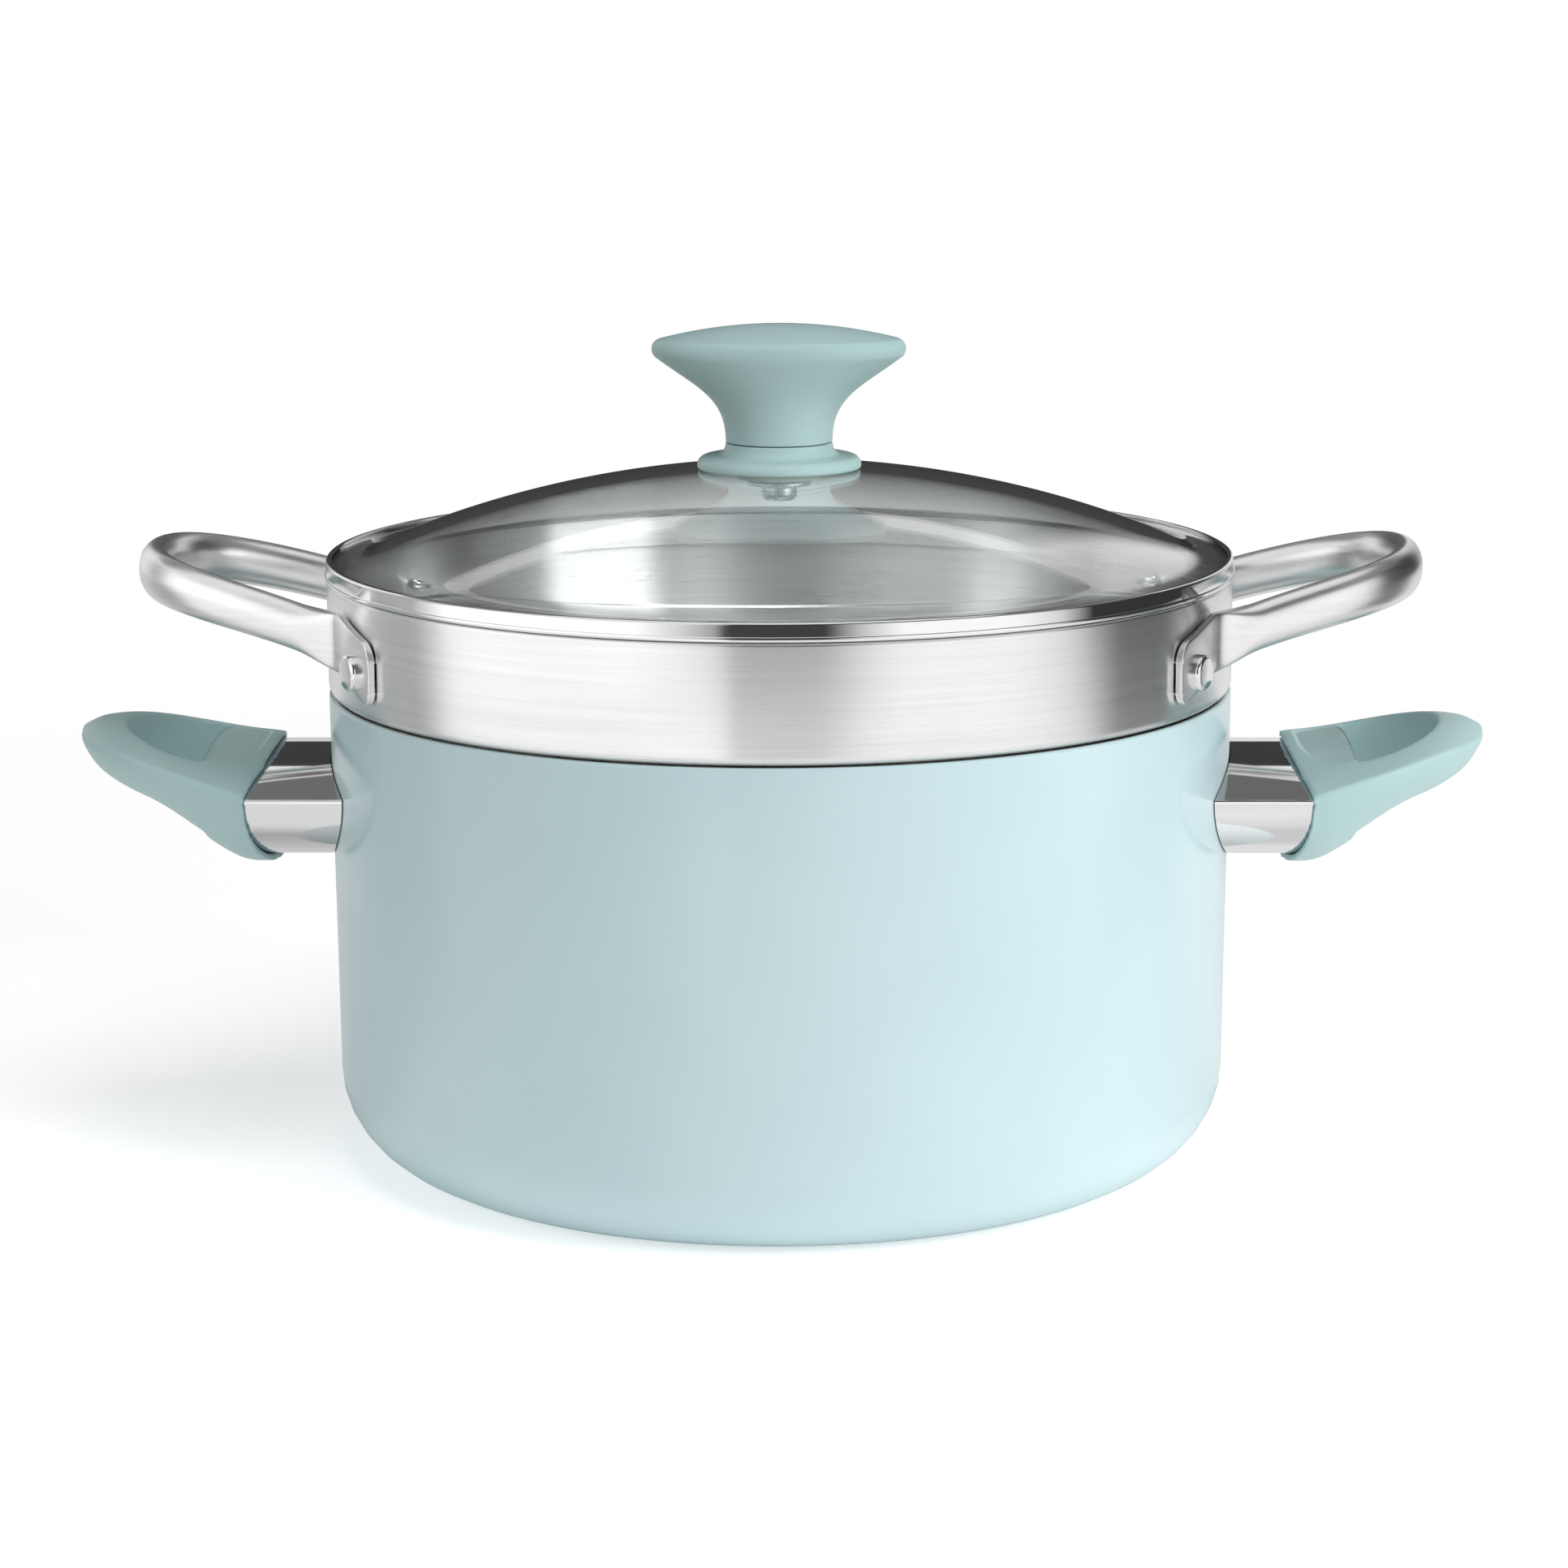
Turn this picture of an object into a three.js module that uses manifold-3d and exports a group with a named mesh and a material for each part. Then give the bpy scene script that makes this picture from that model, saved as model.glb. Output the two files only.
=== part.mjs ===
// Pasta pot: a pressed aluminium pot, a perforated steel insert that hangs in its mouth, and a glass lid.
// Millimetres, +Z up, +X towards the right-hand handle. The origin is the middle of the pot's foot.
import * as THREE from "three";
import { mergeVertices } from "three/addons/utils/BufferGeometryUtils.js";
import Module from "manifold-3d";

const wasm = await Module();
wasm.setup();

// Driving dimensions: clearances and facets

const SEAT_GAP = 0.3; // between two pieces that touch
const CUT_MARGIN = 2; // how far a cutting tool runs past what it cuts
const FACETS = 48; // sides of the large round pieces
const SMALL_FACETS = 28; // sides of the collar and knob
const BOLT_FACETS = 10; // sides of screws, rivets and washers
const HOLE_FACETS = 6; // sides of a drain hole
const ARC_STEPS = 2; // straight pieces in a rounded corner
const CORNER_STEPS = 5; // straight pieces in the pot's outer corner
const BASKET_STEPS = 3; // straight pieces in a corner of the basket or of the pot's inside
const ARC_PULL = 0.5523; // how far a curve's handles reach towards a corner, for a round arc
const MERGE_TOLERANCE = 1e-4;

// Driving dimensions: pot

const POT_INNER_DIAMETER = 239; // across the mouth
const POT_WALL = 2;
const POT_HEIGHT = 128.2;
const POT_DRAFT = 1.2; // how far each side leans in from the rim to the foot
const POT_CORNER = 25; // outer radius between wall and foot
const POT_FLOOR = 4;
const FOOT_RECESS_DIAMETER = 150;
const FOOT_RECESS_DEPTH = 0.8;
const RIM_ROUND = 0.8;

// Driving dimensions: insert

const INSERT_SHEET = 0.9;
const BAND_HEIGHT = 30.5; // the part that stands above the pot
const BAND_ROUND = 2.5; // outer radius at the foot of the band
const BASKET_CLEARANCE = 3; // between the basket and the pot's wall
const BASKET_DEPTH = 100; // below the pot's rim
const BASKET_CORNER = 14;
const HEM_THICKNESS = 1.9; // rim folded inwards on itself
const HEM_HEIGHT = 5;
const DRAIN_HOLE_DIAMETER = 8;
const FLOOR_HOLE_PITCH = 30;
const FLOOR_HOLES_PER_RING = 6; // added with each ring outwards
const WALL_HOLE_COUNT = 24; // in one row round the wall
const WALL_HOLE_ROWS = 2;
const WALL_HOLE_PITCH = 26; // between rows
const WALL_HOLE_START = 14; // lowest row above the basket's corner

// Driving dimensions: loop handles of the insert

const LOOP_REACH = 50.8; // from the band to the outside of the loop
const LOOP_END_ANGLE = 33; // degrees from the X axis to the end of a plate
const LOOP_ROOT_ANGLE = 23.5; // degrees from the X axis to where the loop leaves the band
const LOOP_PLATE = 2; // thickness of a flattened end
const LOOP_BAR = 9; // thickness of the rail
const LOOP_PLATE_HEIGHT = 17;
const LOOP_ROOT_HEIGHT = 15.5;
const LOOP_NECK_HEIGHT = 12.6; // of the rail next to its elbow
const LOOP_BAR_HEIGHT = 13.6;
const LOOP_PLATE_LEVEL = 12.6; // middle of a plate's end above the pot's rim
const LOOP_ROOT_RISE = 6; // middle of the root above the plate's end
const LOOP_TIP_RISE = 19.8; // middle of the tip above the plate's end
const LOOP_ELBOW = 6.8; // from the root to the corner of the elbow
const LOOP_ELBOW_RUN = 10.7; // from that corner to the start of the bow
const LOOP_TOE_IN = 15.7; // degrees between the start of the bow and the X axis
const LOOP_BOW_PULL = 17.7; // how straight the bow runs on from the elbow
const LOOP_TIP_PULL = 33; // how broad the bow is at its tip
const LOOP_POINTS = 10; // points round the section
const LOOP_PLATE_STEPS = 3; // sections along a plate, an elbow and half of the bow
const LOOP_ELBOW_STEPS = 4;
const LOOP_BOW_STEPS = 7;
const LOOP_SQUARENESS = [6, 5, 2.6, 2.4]; // at plate end, root, elbow end and tip; 2 makes an oval section
const RIVET_ANGLE = 28.5; // degrees from the X axis
const RIVET_LEVEL = 12.8; // above the pot's rim
const RIVET_SHANK_DIAMETER = 6;
const RIVET_HEAD_DIAMETER = 9.4;
const RIVET_HEAD_HEIGHT = 2.2;
const RIVET_DOME_DIAMETER = 10;
const RIVET_DOME_HEIGHT = 3;

// Driving dimensions: lid

const LID_SHEET = 0.6; // the steel rim band
const LID_OVERHANG = 0.55; // of the rim past the insert's band
const LID_SKIRT = 8.5; // depth of the rim inside the insert
const LID_SKIRT_CLEARANCE = 0.9;
const LID_LIP = 1.1; // of the rim over the glass
const LID_RIM_ROUND = 0.9;
const LID_GLASS = 3;
const LID_BRIM = 7.5; // width of the flat edge round the dome
const LID_BEND = 8; // rounding between the flat edge and the dome
const LID_RISE = 23.8; // of the dome above its flat edge
const LID_ARC_STEPS = 4;
const LID_HOLE_DIAMETER = 8;

// Driving dimensions: knob

const COLLAR_DIAMETER = 44;
const COLLAR_HEIGHT = 6.2;
const COLLAR_FLANGE = 3.2; // height of the collar's flange at its top edge
const COLLAR_ROUND = 2.4;
const KNOB_NECK_DIAMETER = 28.6;
const KNOB_LENGTH = 68;
const KNOB_WIDTH = 36;
const KNOB_HEIGHT = 31.3;
const KNOB_CROWN = 6.7; // of the top above the widest ring
const KNOB_FLARE = 1.4; // above 1 the neck stays slim for longer
const KNOB_FLARE_STEPS = 8;
const KNOB_CROWN_STEPS = 4;
const KNOB_NUT_DIAMETER = 9;
const KNOB_NUT_LENGTH = 12;
const KNOB_SCREW_DIAMETER = 5;
const KNOB_SCREW_ENGAGEMENT = 10; // length of thread inside the nut
const GASKET_DIAMETER = 22;
const GASKET_THICKNESS = 1.5;
const WASHER_DIAMETER = 17;
const WASHER_THICKNESS = 1.2;
const SCREW_HEAD_DIAMETER = 9.6;
const SCREW_HEAD_HEIGHT = 3.4;

// Driving dimensions: side handles of the pot

const HANDLE_DROP = 30.6; // middle of the ferrule below the pot's rim
const FERRULE_WIDTH = 80;
const FERRULE_TOP = 13.2; // above the middle
const FERRULE_RIDGE = 6; // above the middle
const FERRULE_BOTTOM = 15.2; // below the middle
const FERRULE_WALL = 1.2;
const FERRULE_LENGTH = 14.5; // that shows along its top
const GRIP_LENGTH = 54.2;
const GRIP_LIP = 1.8; // wall of the grip round the ferrule
const GRIP_SETBACK = 5.3; // how far the sides of the grip's end stand back from its top
const SOCKET_LAND = 3.5; // length of ferrule inside the grip beyond that
// Rise of the grip's top, ridge and bottom along it, as pairs of a share of its length and a height.
const GRIP_TOP = [[0, 0], [0.35, 1.2], [0.7, 5.4], [0.9, 5.6], [1, 3.4]];
const GRIP_RIDGE = [[0, 0], [0.45, 6.8], [0.8, 10.8], [1, 11]];
const GRIP_BOTTOM = [[0, 0], [0.15, 0.3], [0.28, 4], [0.55, 14.7], [0.8, 21.5], [0.9, 25.5], [1, 33]];
const GRIP_STEPS = 8;
const GRIP_TIP_SHARE = 0.985; // where the last section stands, as a share of the length
const GRIP_RAIL = 13; // width of the rail beside the finger hole
const GRIP_TIP_RAIL = 12.5; // width of the rail at the tip
const GRIP_WEB = 8.8; // between the ferrule's socket and the finger hole
const HOLE_STEPS = 10; // straight pieces round the finger hole
const SECTION_POINTS = 20; // points round a handle section
const STUD_DIAMETER = 14;
const STUD_LENGTH = 14;
const GRIP_SCREW_DIAMETER = 6;
const GRIP_SCREW_ENGAGEMENT = 10; // length of thread inside the stud
const GRIP_SCREW_HEAD_DIAMETER = 10;
const GRIP_SCREW_HEAD_HEIGHT = 4;

// Materials

function finish(color, roughness, metalness) {
  return new THREE.MeshStandardMaterial({ color, roughness, metalness });
}

const AQUA_PAINT = finish(0xbcd9dc, 0.3, 0);
const AQUA_PLASTIC = finish(0x9fc2c1, 0.45, 0);
const BRUSHED_STEEL = finish(0xc9c7c3, 0.35, 1);
const POLISHED_STEEL = finish(0xd4d5d8, 0.08, 1);
const CLEAR_GLASS = finish(0xdfeceb, 0.03, 0);
const SILICONE = finish(0xd9dcda, 0.6, 0);

// Shared geometry

// A closed three.js geometry as a solid that can be joined and cut.
function solidFrom(geometry) {
  const bare = geometry.clone();
  bare.deleteAttribute("normal");
  bare.deleteAttribute("uv");
  const merged = mergeVertices(bare, MERGE_TOLERANCE);
  const corners = merged.index.array;
  const triVerts = [];
  for (let i = 0; i < corners.length; i += 3) {
    const [a, b, c] = corners.slice(i, i + 3);
    if (a !== b && b !== c && c !== a) triVerts.push(a, b, c);
  }
  return new wasm.Manifold(
    new wasm.Mesh({
      numProp: 3,
      vertProperties: merged.attributes.position.array,
      triVerts: new Uint32Array(triVerts),
    }),
  );
}

// A solid as a three.js geometry.
function geometryFrom(solid) {
  const { vertProperties, triVerts } = solid.getMesh();
  const geometry = new THREE.BufferGeometry();
  geometry.setAttribute("position", new THREE.BufferAttribute(vertProperties, 3));
  geometry.setIndex(new THREE.BufferAttribute(triVerts, 1));
  geometry.computeVertexNormals();
  return geometry;
}

function piece(name, solid, material) {
  const mesh = new THREE.Mesh(geometryFrom(solid), material);
  mesh.name = name;
  return mesh;
}

// The points of a closed outline. A corner is [x, y] or [x, y, round, steps].
// The round is the fillet's length along each side.
function outline(corners) {
  const points = [];
  corners.forEach(([x, y, round = 0, steps = ARC_STEPS], i) => {
    const corner = new THREE.Vector2(x, y);
    if (!round) {
      points.push(corner);
      return;
    }
    const [before, after] = [corners.at(i - 1), corners[(i + 1) % corners.length]].map(([u, v]) => {
      const side = new THREE.Vector2(u, v).sub(corner);
      return side.setLength(Math.min(round, side.length() / 2)).add(corner);
    });
    const handles = [before, after].map((end) => end.clone().lerp(corner, ARC_PULL));
    points.push(...new THREE.CubicBezierCurve(before, ...handles, after).getPoints(steps));
  });
  return points;
}

// Turns a closed profile of radius and height about the Z axis.
function revolve(profile, facets = FACETS) {
  const points = [...profile, profile[0].clone()];
  if (THREE.ShapeUtils.isClockWise(profile)) points.reverse();
  return solidFrom(new THREE.LatheGeometry(points, facets).rotateX(Math.PI / 2));
}

// A round bar along Z from one height to another.
function bar(diameter, from, to, facets = BOLT_FACETS) {
  const round = new THREE.CylinderGeometry(diameter / 2, diameter / 2, to - from, facets);
  return solidFrom(round.rotateX(Math.PI / 2).translate(0, 0, (from + to) / 2));
}

// Skins a row of closed rings, and closes each end to its own end point.
function loft(rings, firstEnd, lastEnd) {
  const count = rings[0].length;
  const points = [...rings.flat(), firstEnd, lastEnd];
  const first = points.length - 2;
  const last = points.length - 1;
  const index = [];
  for (let i = 0; i < count; i++) {
    const next = (i + 1) % count;
    for (let k = 0; k < rings.length - 1; k++) {
      const [a, b] = [k * count + i, k * count + next];
      index.push(a, b, b + count, a, b + count, a + count);
    }
    const top = (rings.length - 1) * count;
    index.push(first, next, i, last, top + i, top + next);
  }
  const geometry = new THREE.BufferGeometry().setFromPoints(points);
  geometry.setIndex(index);
  const solid = solidFrom(geometry);
  if (solid.volume() > 0) return solid;
  for (let i = 0; i < index.length; i += 3) [index[i], index[i + 1]] = [index[i + 1], index[i]];
  return solidFrom(geometry.setIndex(index));
}

function middle(ring) {
  return ring.reduce((sum, p) => sum.add(p), new THREE.Vector3()).divideScalar(ring.length);
}

// The height of a line of [share, height] stations at one share.
function along(stations, share) {
  const i = Math.max(1, stations.findIndex(([at]) => at >= share));
  const [[s0, h0], [s1, h1]] = [stations[i - 1], stations[i]];
  return THREE.MathUtils.mapLinear(share, s0, s1, h0, h1);
}

const toAngle = THREE.MathUtils.degToRad;

// How far from the axis a flat face of the given half width meets the inside of a faceted round wall.
const flatAcross = (radius, half) => Math.sqrt(radius ** 2 - half ** 2) * Math.cos(Math.PI / FACETS);

// Pot

const potInner = POT_INNER_DIAMETER / 2;
const potRim = potInner + POT_WALL;
const potFoot = potRim - POT_DRAFT;
const potOuterAt = (z) => THREE.MathUtils.mapLinear(z, 0, POT_HEIGHT, potFoot, potRim);

function potProfile() {
  const recess = FOOT_RECESS_DIAMETER / 2;
  const innerCorner = POT_CORNER - POT_WALL;
  return outline([
    [0, FOOT_RECESS_DEPTH],
    [recess - FOOT_RECESS_DEPTH, FOOT_RECESS_DEPTH],
    [recess, 0],
    [potFoot, 0, POT_CORNER, CORNER_STEPS],
    [potRim, POT_HEIGHT, RIM_ROUND, 1],
    [potInner, POT_HEIGHT, RIM_ROUND, 1],
    [potOuterAt(POT_FLOOR) - POT_WALL, POT_FLOOR, innerCorner, BASKET_STEPS],
    [0, POT_FLOOR],
  ]);
}

// The pot's outside, larger by the seat gap, for cutting what stands against its wall.
function potEnvelope() {
  const base = -CUT_MARGIN;
  const top = POT_HEIGHT + CUT_MARGIN;
  return revolve(
    outline([
      [0, base],
      [potOuterAt(base) + SEAT_GAP, base],
      [potOuterAt(top) + SEAT_GAP, top],
      [0, top],
    ]),
  );
}

// Insert

const bandFoot = POT_HEIGHT + SEAT_GAP;
const bandTop = bandFoot + BAND_HEIGHT;
const basketFloor = POT_HEIGHT - BASKET_DEPTH;
const basketAt = (z) => potOuterAt(z) - POT_WALL - BASKET_CLEARANCE;

function insertProfile() {
  const sheet = INSERT_SHEET;
  const hem = potRim - HEM_THICKNESS;
  const inside = basketFloor + sheet;
  return outline([
    [0, basketFloor],
    [basketAt(basketFloor), basketFloor, BASKET_CORNER, BASKET_STEPS],
    [basketAt(bandFoot), bandFoot],
    [potRim, bandFoot, BAND_ROUND],
    [potRim, bandTop],
    [hem, bandTop],
    [hem, bandTop - HEM_HEIGHT],
    [potRim - sheet, bandTop - HEM_HEIGHT],
    [potRim - sheet, bandFoot + sheet, BAND_ROUND - sheet, 1],
    [basketAt(bandFoot) - sheet, bandFoot + sheet],
    [basketAt(inside) - sheet, inside, BASKET_CORNER - sheet, BASKET_STEPS],
    [0, inside],
  ]);
}

// Upright cutters for the holes in the basket's floor, in rings that each add the same number of holes.
function floorDrills() {
  const above = basketFloor + INSERT_SHEET + CUT_MARGIN;
  const drill = bar(DRAIN_HOLE_DIAMETER, basketFloor - CUT_MARGIN, above, HOLE_FACETS);
  const flat = basketAt(basketFloor) - BASKET_CORNER - DRAIN_HOLE_DIAMETER;
  const rings = Math.floor(flat / FLOOR_HOLE_PITCH);
  const drills = [drill];
  for (let ring = 1; ring <= rings; ring++) {
    const holes = ring * FLOOR_HOLES_PER_RING;
    for (let k = 0; k < holes; k++) {
      drills.push(drill.translate([ring * FLOOR_HOLE_PITCH, 0, 0]).rotate([0, 0, (360 * k) / holes]));
    }
  }
  return drills;
}

// Level cutters for the rows of holes round the basket's wall.
// Each row is turned by half a step, and each hole is on a facet.
function wallDrills() {
  const drills = [];
  const lowest = basketFloor + BASKET_CORNER + WALL_HOLE_START;
  for (let row = 0; row < WALL_HOLE_ROWS; row++) {
    const z = lowest + row * WALL_HOLE_PITCH;
    const reach = basketAt(z) + CUT_MARGIN;
    const drill = bar(DRAIN_HOLE_DIAMETER, reach - 2 * CUT_MARGIN - INSERT_SHEET, reach, HOLE_FACETS);
    for (let k = 0; k < WALL_HOLE_COUNT; k++) {
      const turn = (360 * (k + row / 2)) / WALL_HOLE_COUNT + 180 / FACETS;
      drills.push(drill.rotate([0, 90, 0]).translate([0, 0, z]).rotate([0, 0, turn]));
    }
  }
  return drills;
}

// The four rivet places, named by side and by front or rear, as turns about Z from the X axis.
const RIVET_PLACES = [
  ["right_front", -RIVET_ANGLE],
  ["right_rear", RIVET_ANGLE],
  ["left_rear", 180 - RIVET_ANGLE],
  ["left_front", 180 + RIVET_ANGLE],
];
const rivetZ = POT_HEIGHT + RIVET_LEVEL;
const plateInner = potRim + SEAT_GAP;
const plateOuter = plateInner + LOOP_PLATE;

// Lays a solid that was made along Z out along a turned X axis at the rivets' height.
const atRivet = (solid, turn) => solid.rotate([0, 90, 0]).translate([0, 0, rivetZ]).rotate([0, 0, turn]);

function rivetDrills() {
  const drill = bar(RIVET_SHANK_DIAMETER + 2 * SEAT_GAP, potInner - CUT_MARGIN, plateOuter + CUT_MARGIN);
  return RIVET_PLACES.map(([, turn]) => atRivet(drill, turn));
}

// A shank through plate and band, a flat head outside and a domed head inside the basket.
function rivet() {
  const head = RIVET_HEAD_DIAMETER / 2;
  const dome = RIVET_DOME_DIAMETER / 2;
  const inner = flatAcross(potRim - INSERT_SHEET, dome) - SEAT_GAP;
  const outer = plateOuter + SEAT_GAP;
  const shank = RIVET_SHANK_DIAMETER / 2;
  const quarter = new THREE.EllipseCurve(0, inner, dome, RIVET_DOME_HEIGHT, -Math.PI / 2, 0);
  const domed = quarter.getPoints(ARC_STEPS + 1);
  const rest = outline([
    [shank, inner],
    [shank, outer],
    [head, outer],
    [head, outer + RIVET_HEAD_HEIGHT, RIVET_HEAD_HEIGHT / 2],
    [0, outer + RIVET_HEAD_HEIGHT],
  ]);
  return revolve([...domed, ...rest], BOLT_FACETS);
}

// Half of a loop's middle line, from the end of a plate to the tip, with the section's sizes at each stop.
function loopStops() {
  const radius = (plateInner + plateOuter) / 2;
  const level = POT_HEIGHT + LOOP_PLATE_LEVEL;
  const on = (angle, z) => new THREE.Vector3(radius * Math.cos(angle), radius * Math.sin(angle), z);
  const [end, root] = [LOOP_END_ANGLE, LOOP_ROOT_ANGLE].map(toAngle);
  const rootLevel = level + LOOP_ROOT_RISE;
  const tip = new THREE.Vector3(potRim + LOOP_REACH - LOOP_BAR / 2, 0, level + LOOP_TIP_RISE);
  const bowStart = new THREE.Vector3(Math.cos(toAngle(LOOP_TOE_IN)), -Math.sin(toAngle(LOOP_TOE_IN)), 0);
  const onBand = new THREE.Vector3(Math.sin(root), -Math.cos(root), 0);
  const corner = on(root, rootLevel).addScaledVector(onBand, LOOP_ELBOW);
  const elbowEnd = corner.clone().addScaledVector(bowStart, LOOP_ELBOW_RUN);
  const slope = (tip.z - rootLevel) / (tip.x - radius);
  elbowEnd.z += slope * LOOP_ELBOW_RUN;
  const pull = elbowEnd.clone().addScaledVector(bowStart, LOOP_BOW_PULL);
  pull.z += slope * LOOP_BOW_PULL;
  const elbow = new THREE.QuadraticBezierCurve3(on(root, rootLevel), corner, elbowEnd);
  const bow = new THREE.CubicBezierCurve3(elbowEnd, pull, tip.clone().setY(LOOP_TIP_PULL), tip);
  const stops = [];
  const add = (points, [thick0, thick1], [tall0, tall1], [square0, square1], skip) => {
    points.forEach((point, i) => {
      if (i < skip) return;
      const t = THREE.MathUtils.smoothstep(i / (points.length - 1), 0, 1);
      const mix = (from, to) => THREE.MathUtils.lerp(from, to, t);
      stops.push({
        point,
        thick: mix(thick0, thick1),
        tall: mix(tall0, tall1),
        square: mix(square0, square1),
      });
    });
  };
  const plate = [];
  for (let i = 0; i <= LOOP_PLATE_STEPS; i++) {
    const share = i / LOOP_PLATE_STEPS;
    plate.push(on(THREE.MathUtils.lerp(end, root, share), THREE.MathUtils.lerp(level, rootLevel, share)));
  }
  const [endSquare, rootSquare, elbowSquare, tipSquare] = LOOP_SQUARENESS;
  add(plate, [LOOP_PLATE, LOOP_PLATE], [LOOP_PLATE_HEIGHT, LOOP_ROOT_HEIGHT], [endSquare, rootSquare], 0);
  add(
    elbow.getPoints(LOOP_ELBOW_STEPS),
    [LOOP_PLATE, LOOP_BAR],
    [LOOP_ROOT_HEIGHT, LOOP_NECK_HEIGHT],
    [rootSquare, elbowSquare],
    1,
  );
  add(
    bow.getPoints(LOOP_BOW_STEPS),
    [LOOP_BAR, LOOP_BAR],
    [LOOP_NECK_HEIGHT, LOOP_BAR_HEIGHT],
    [elbowSquare, tipSquare],
    1,
  );
  return stops;
}

// The ring of one stop: a rounded rectangle or oval, upright across the middle line.
function loopRing({ point, thick, tall, square }, ahead) {
  const across = new THREE.Vector3(-ahead.y, ahead.x, 0).normalize();
  const ring = [];
  for (let i = 0; i < LOOP_POINTS; i++) {
    const turn = (2 * Math.PI * (i + 0.5)) / LOOP_POINTS;
    const [c, s] = [Math.cos(turn), Math.sin(turn)].map((v) => Math.sign(v) * Math.abs(v) ** (2 / square));
    ring.push(new THREE.Vector3(0, 0, (s * tall) / 2).addScaledVector(across, (c * thick) / 2).add(point));
  }
  return ring;
}

function loopHandle() {
  const half = loopStops();
  const across = (stop) => ({ ...stop, point: stop.point.clone().setY(-stop.point.y) });
  const mirrored = half.slice(0, -1).map(across);
  const stops = [...half, ...mirrored.reverse()];
  const rings = stops.map((stop, i) => {
    const before = stops[Math.max(0, i - 1)].point;
    const after = stops[Math.min(stops.length - 1, i + 1)].point;
    return loopRing(stop, after.clone().sub(before));
  });
  const band = bar(2 * plateInner, bandFoot - CUT_MARGIN, bandTop + 2 * LOOP_TIP_RISE, FACETS);
  return loft(rings, middle(rings[0]), middle(rings.at(-1))).subtract(band);
}

// Lid

const lidSeat = bandTop + SEAT_GAP;
const rimOuter = potRim + LID_OVERHANG;
const skirtOuter = potRim - HEM_THICKNESS - LID_SKIRT_CLEARANCE;
const skirtInner = skirtOuter - LID_SHEET;
const glassEdge = rimOuter - LID_SHEET - SEAT_GAP;
const brimFoot = lidSeat + LID_SHEET + SEAT_GAP;
const brimTop = brimFoot + LID_GLASS;
const domeFoot = glassEdge - LID_BRIM;
const domeOuter = (domeFoot ** 2 + LID_RISE ** 2) / (2 * LID_RISE);
const domeInner = domeOuter - LID_GLASS;
const domeMiddle = brimTop + LID_RISE - domeOuter;
const domeAt = (radius, r) => domeMiddle + Math.sqrt(radius ** 2 - r ** 2);

// Corners of a dome's profile between two distances from the axis.
function domeArc(radius, from, to) {
  const corners = [];
  for (let i = 0; i <= LID_ARC_STEPS; i++) {
    const r = THREE.MathUtils.lerp(from, to, i / LID_ARC_STEPS);
    corners.push([r, domeAt(radius, r)]);
  }
  return corners;
}

// A dome with a flat edge, and a hole for the knob's screw.
function glassProfile() {
  const hole = LID_HOLE_DIAMETER / 2;
  const underFoot = Math.sqrt(domeInner ** 2 - (brimFoot - domeMiddle) ** 2);
  const under = domeArc(domeInner, hole, underFoot);
  const over = domeArc(domeOuter, domeFoot, hole);
  under.at(-1).push(LID_BEND);
  over[0].push(LID_BEND);
  return outline([...under, [glassEdge, brimFoot], [glassEdge, brimTop], ...over]);
}

// A steel band folded round the glass's edge: a lip over it, a web under it and a skirt in the insert.
function rimProfile() {
  const lip = glassEdge - LID_LIP;
  const lipFoot = brimTop + SEAT_GAP;
  const webTop = lidSeat + LID_SHEET;
  const inside = rimOuter - LID_SHEET;
  return outline([
    [skirtInner, lidSeat - LID_SKIRT],
    [skirtOuter, lidSeat - LID_SKIRT],
    [skirtOuter, lidSeat],
    [rimOuter, lidSeat, LID_RIM_ROUND, 1],
    [rimOuter, lipFoot + LID_SHEET, LID_RIM_ROUND],
    [lip, lipFoot + LID_SHEET],
    [lip, lipFoot],
    [inside, lipFoot],
    [inside, webTop],
    [skirtInner, webTop],
  ]);
}

// Knob

const collarFoot = domeAt(domeOuter, 0) + SEAT_GAP;
const collarTop = collarFoot + COLLAR_HEIGHT;
const knobFoot = collarTop + SEAT_GAP;
const knobTop = knobFoot + KNOB_HEIGHT;
const screwBore = KNOB_SCREW_DIAMETER + 2 * SEAT_GAP;
const nutBore = KNOB_NUT_DIAMETER + 2 * SEAT_GAP;
const gasketTop = domeAt(domeInner, GASKET_DIAMETER / 2) - SEAT_GAP;
const washerTop = gasketTop - GASKET_THICKNESS - SEAT_GAP;
const screwHeadTop = washerTop - WASHER_THICKNESS - SEAT_GAP;

function collarProfile() {
  const flange = COLLAR_DIAMETER / 2;
  const under = domeOuter + SEAT_GAP;
  const neck = KNOB_NECK_DIAMETER / 2;
  const flangeTop = domeAt(under, flange) + COLLAR_FLANGE;
  return outline([
    [screwBore / 2, domeAt(under, screwBore / 2)],
    [neck, domeAt(under, neck)],
    [flange, domeAt(under, flange)],
    [flange, flangeTop, COLLAR_ROUND],
    [neck, flangeTop + SEAT_GAP],
    [neck, collarTop],
    [screwBore / 2, collarTop],
  ]);
}

// One level ring of the knob: an oval of the given half length and half width.
function knobRing(z, halfLength, halfWidth) {
  const oval = new THREE.EllipseCurve(0, 0, halfLength, halfWidth).getPoints(SMALL_FACETS).slice(0, -1);
  return oval.map(({ x, y }) => new THREE.Vector3(x, y, z));
}

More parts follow.
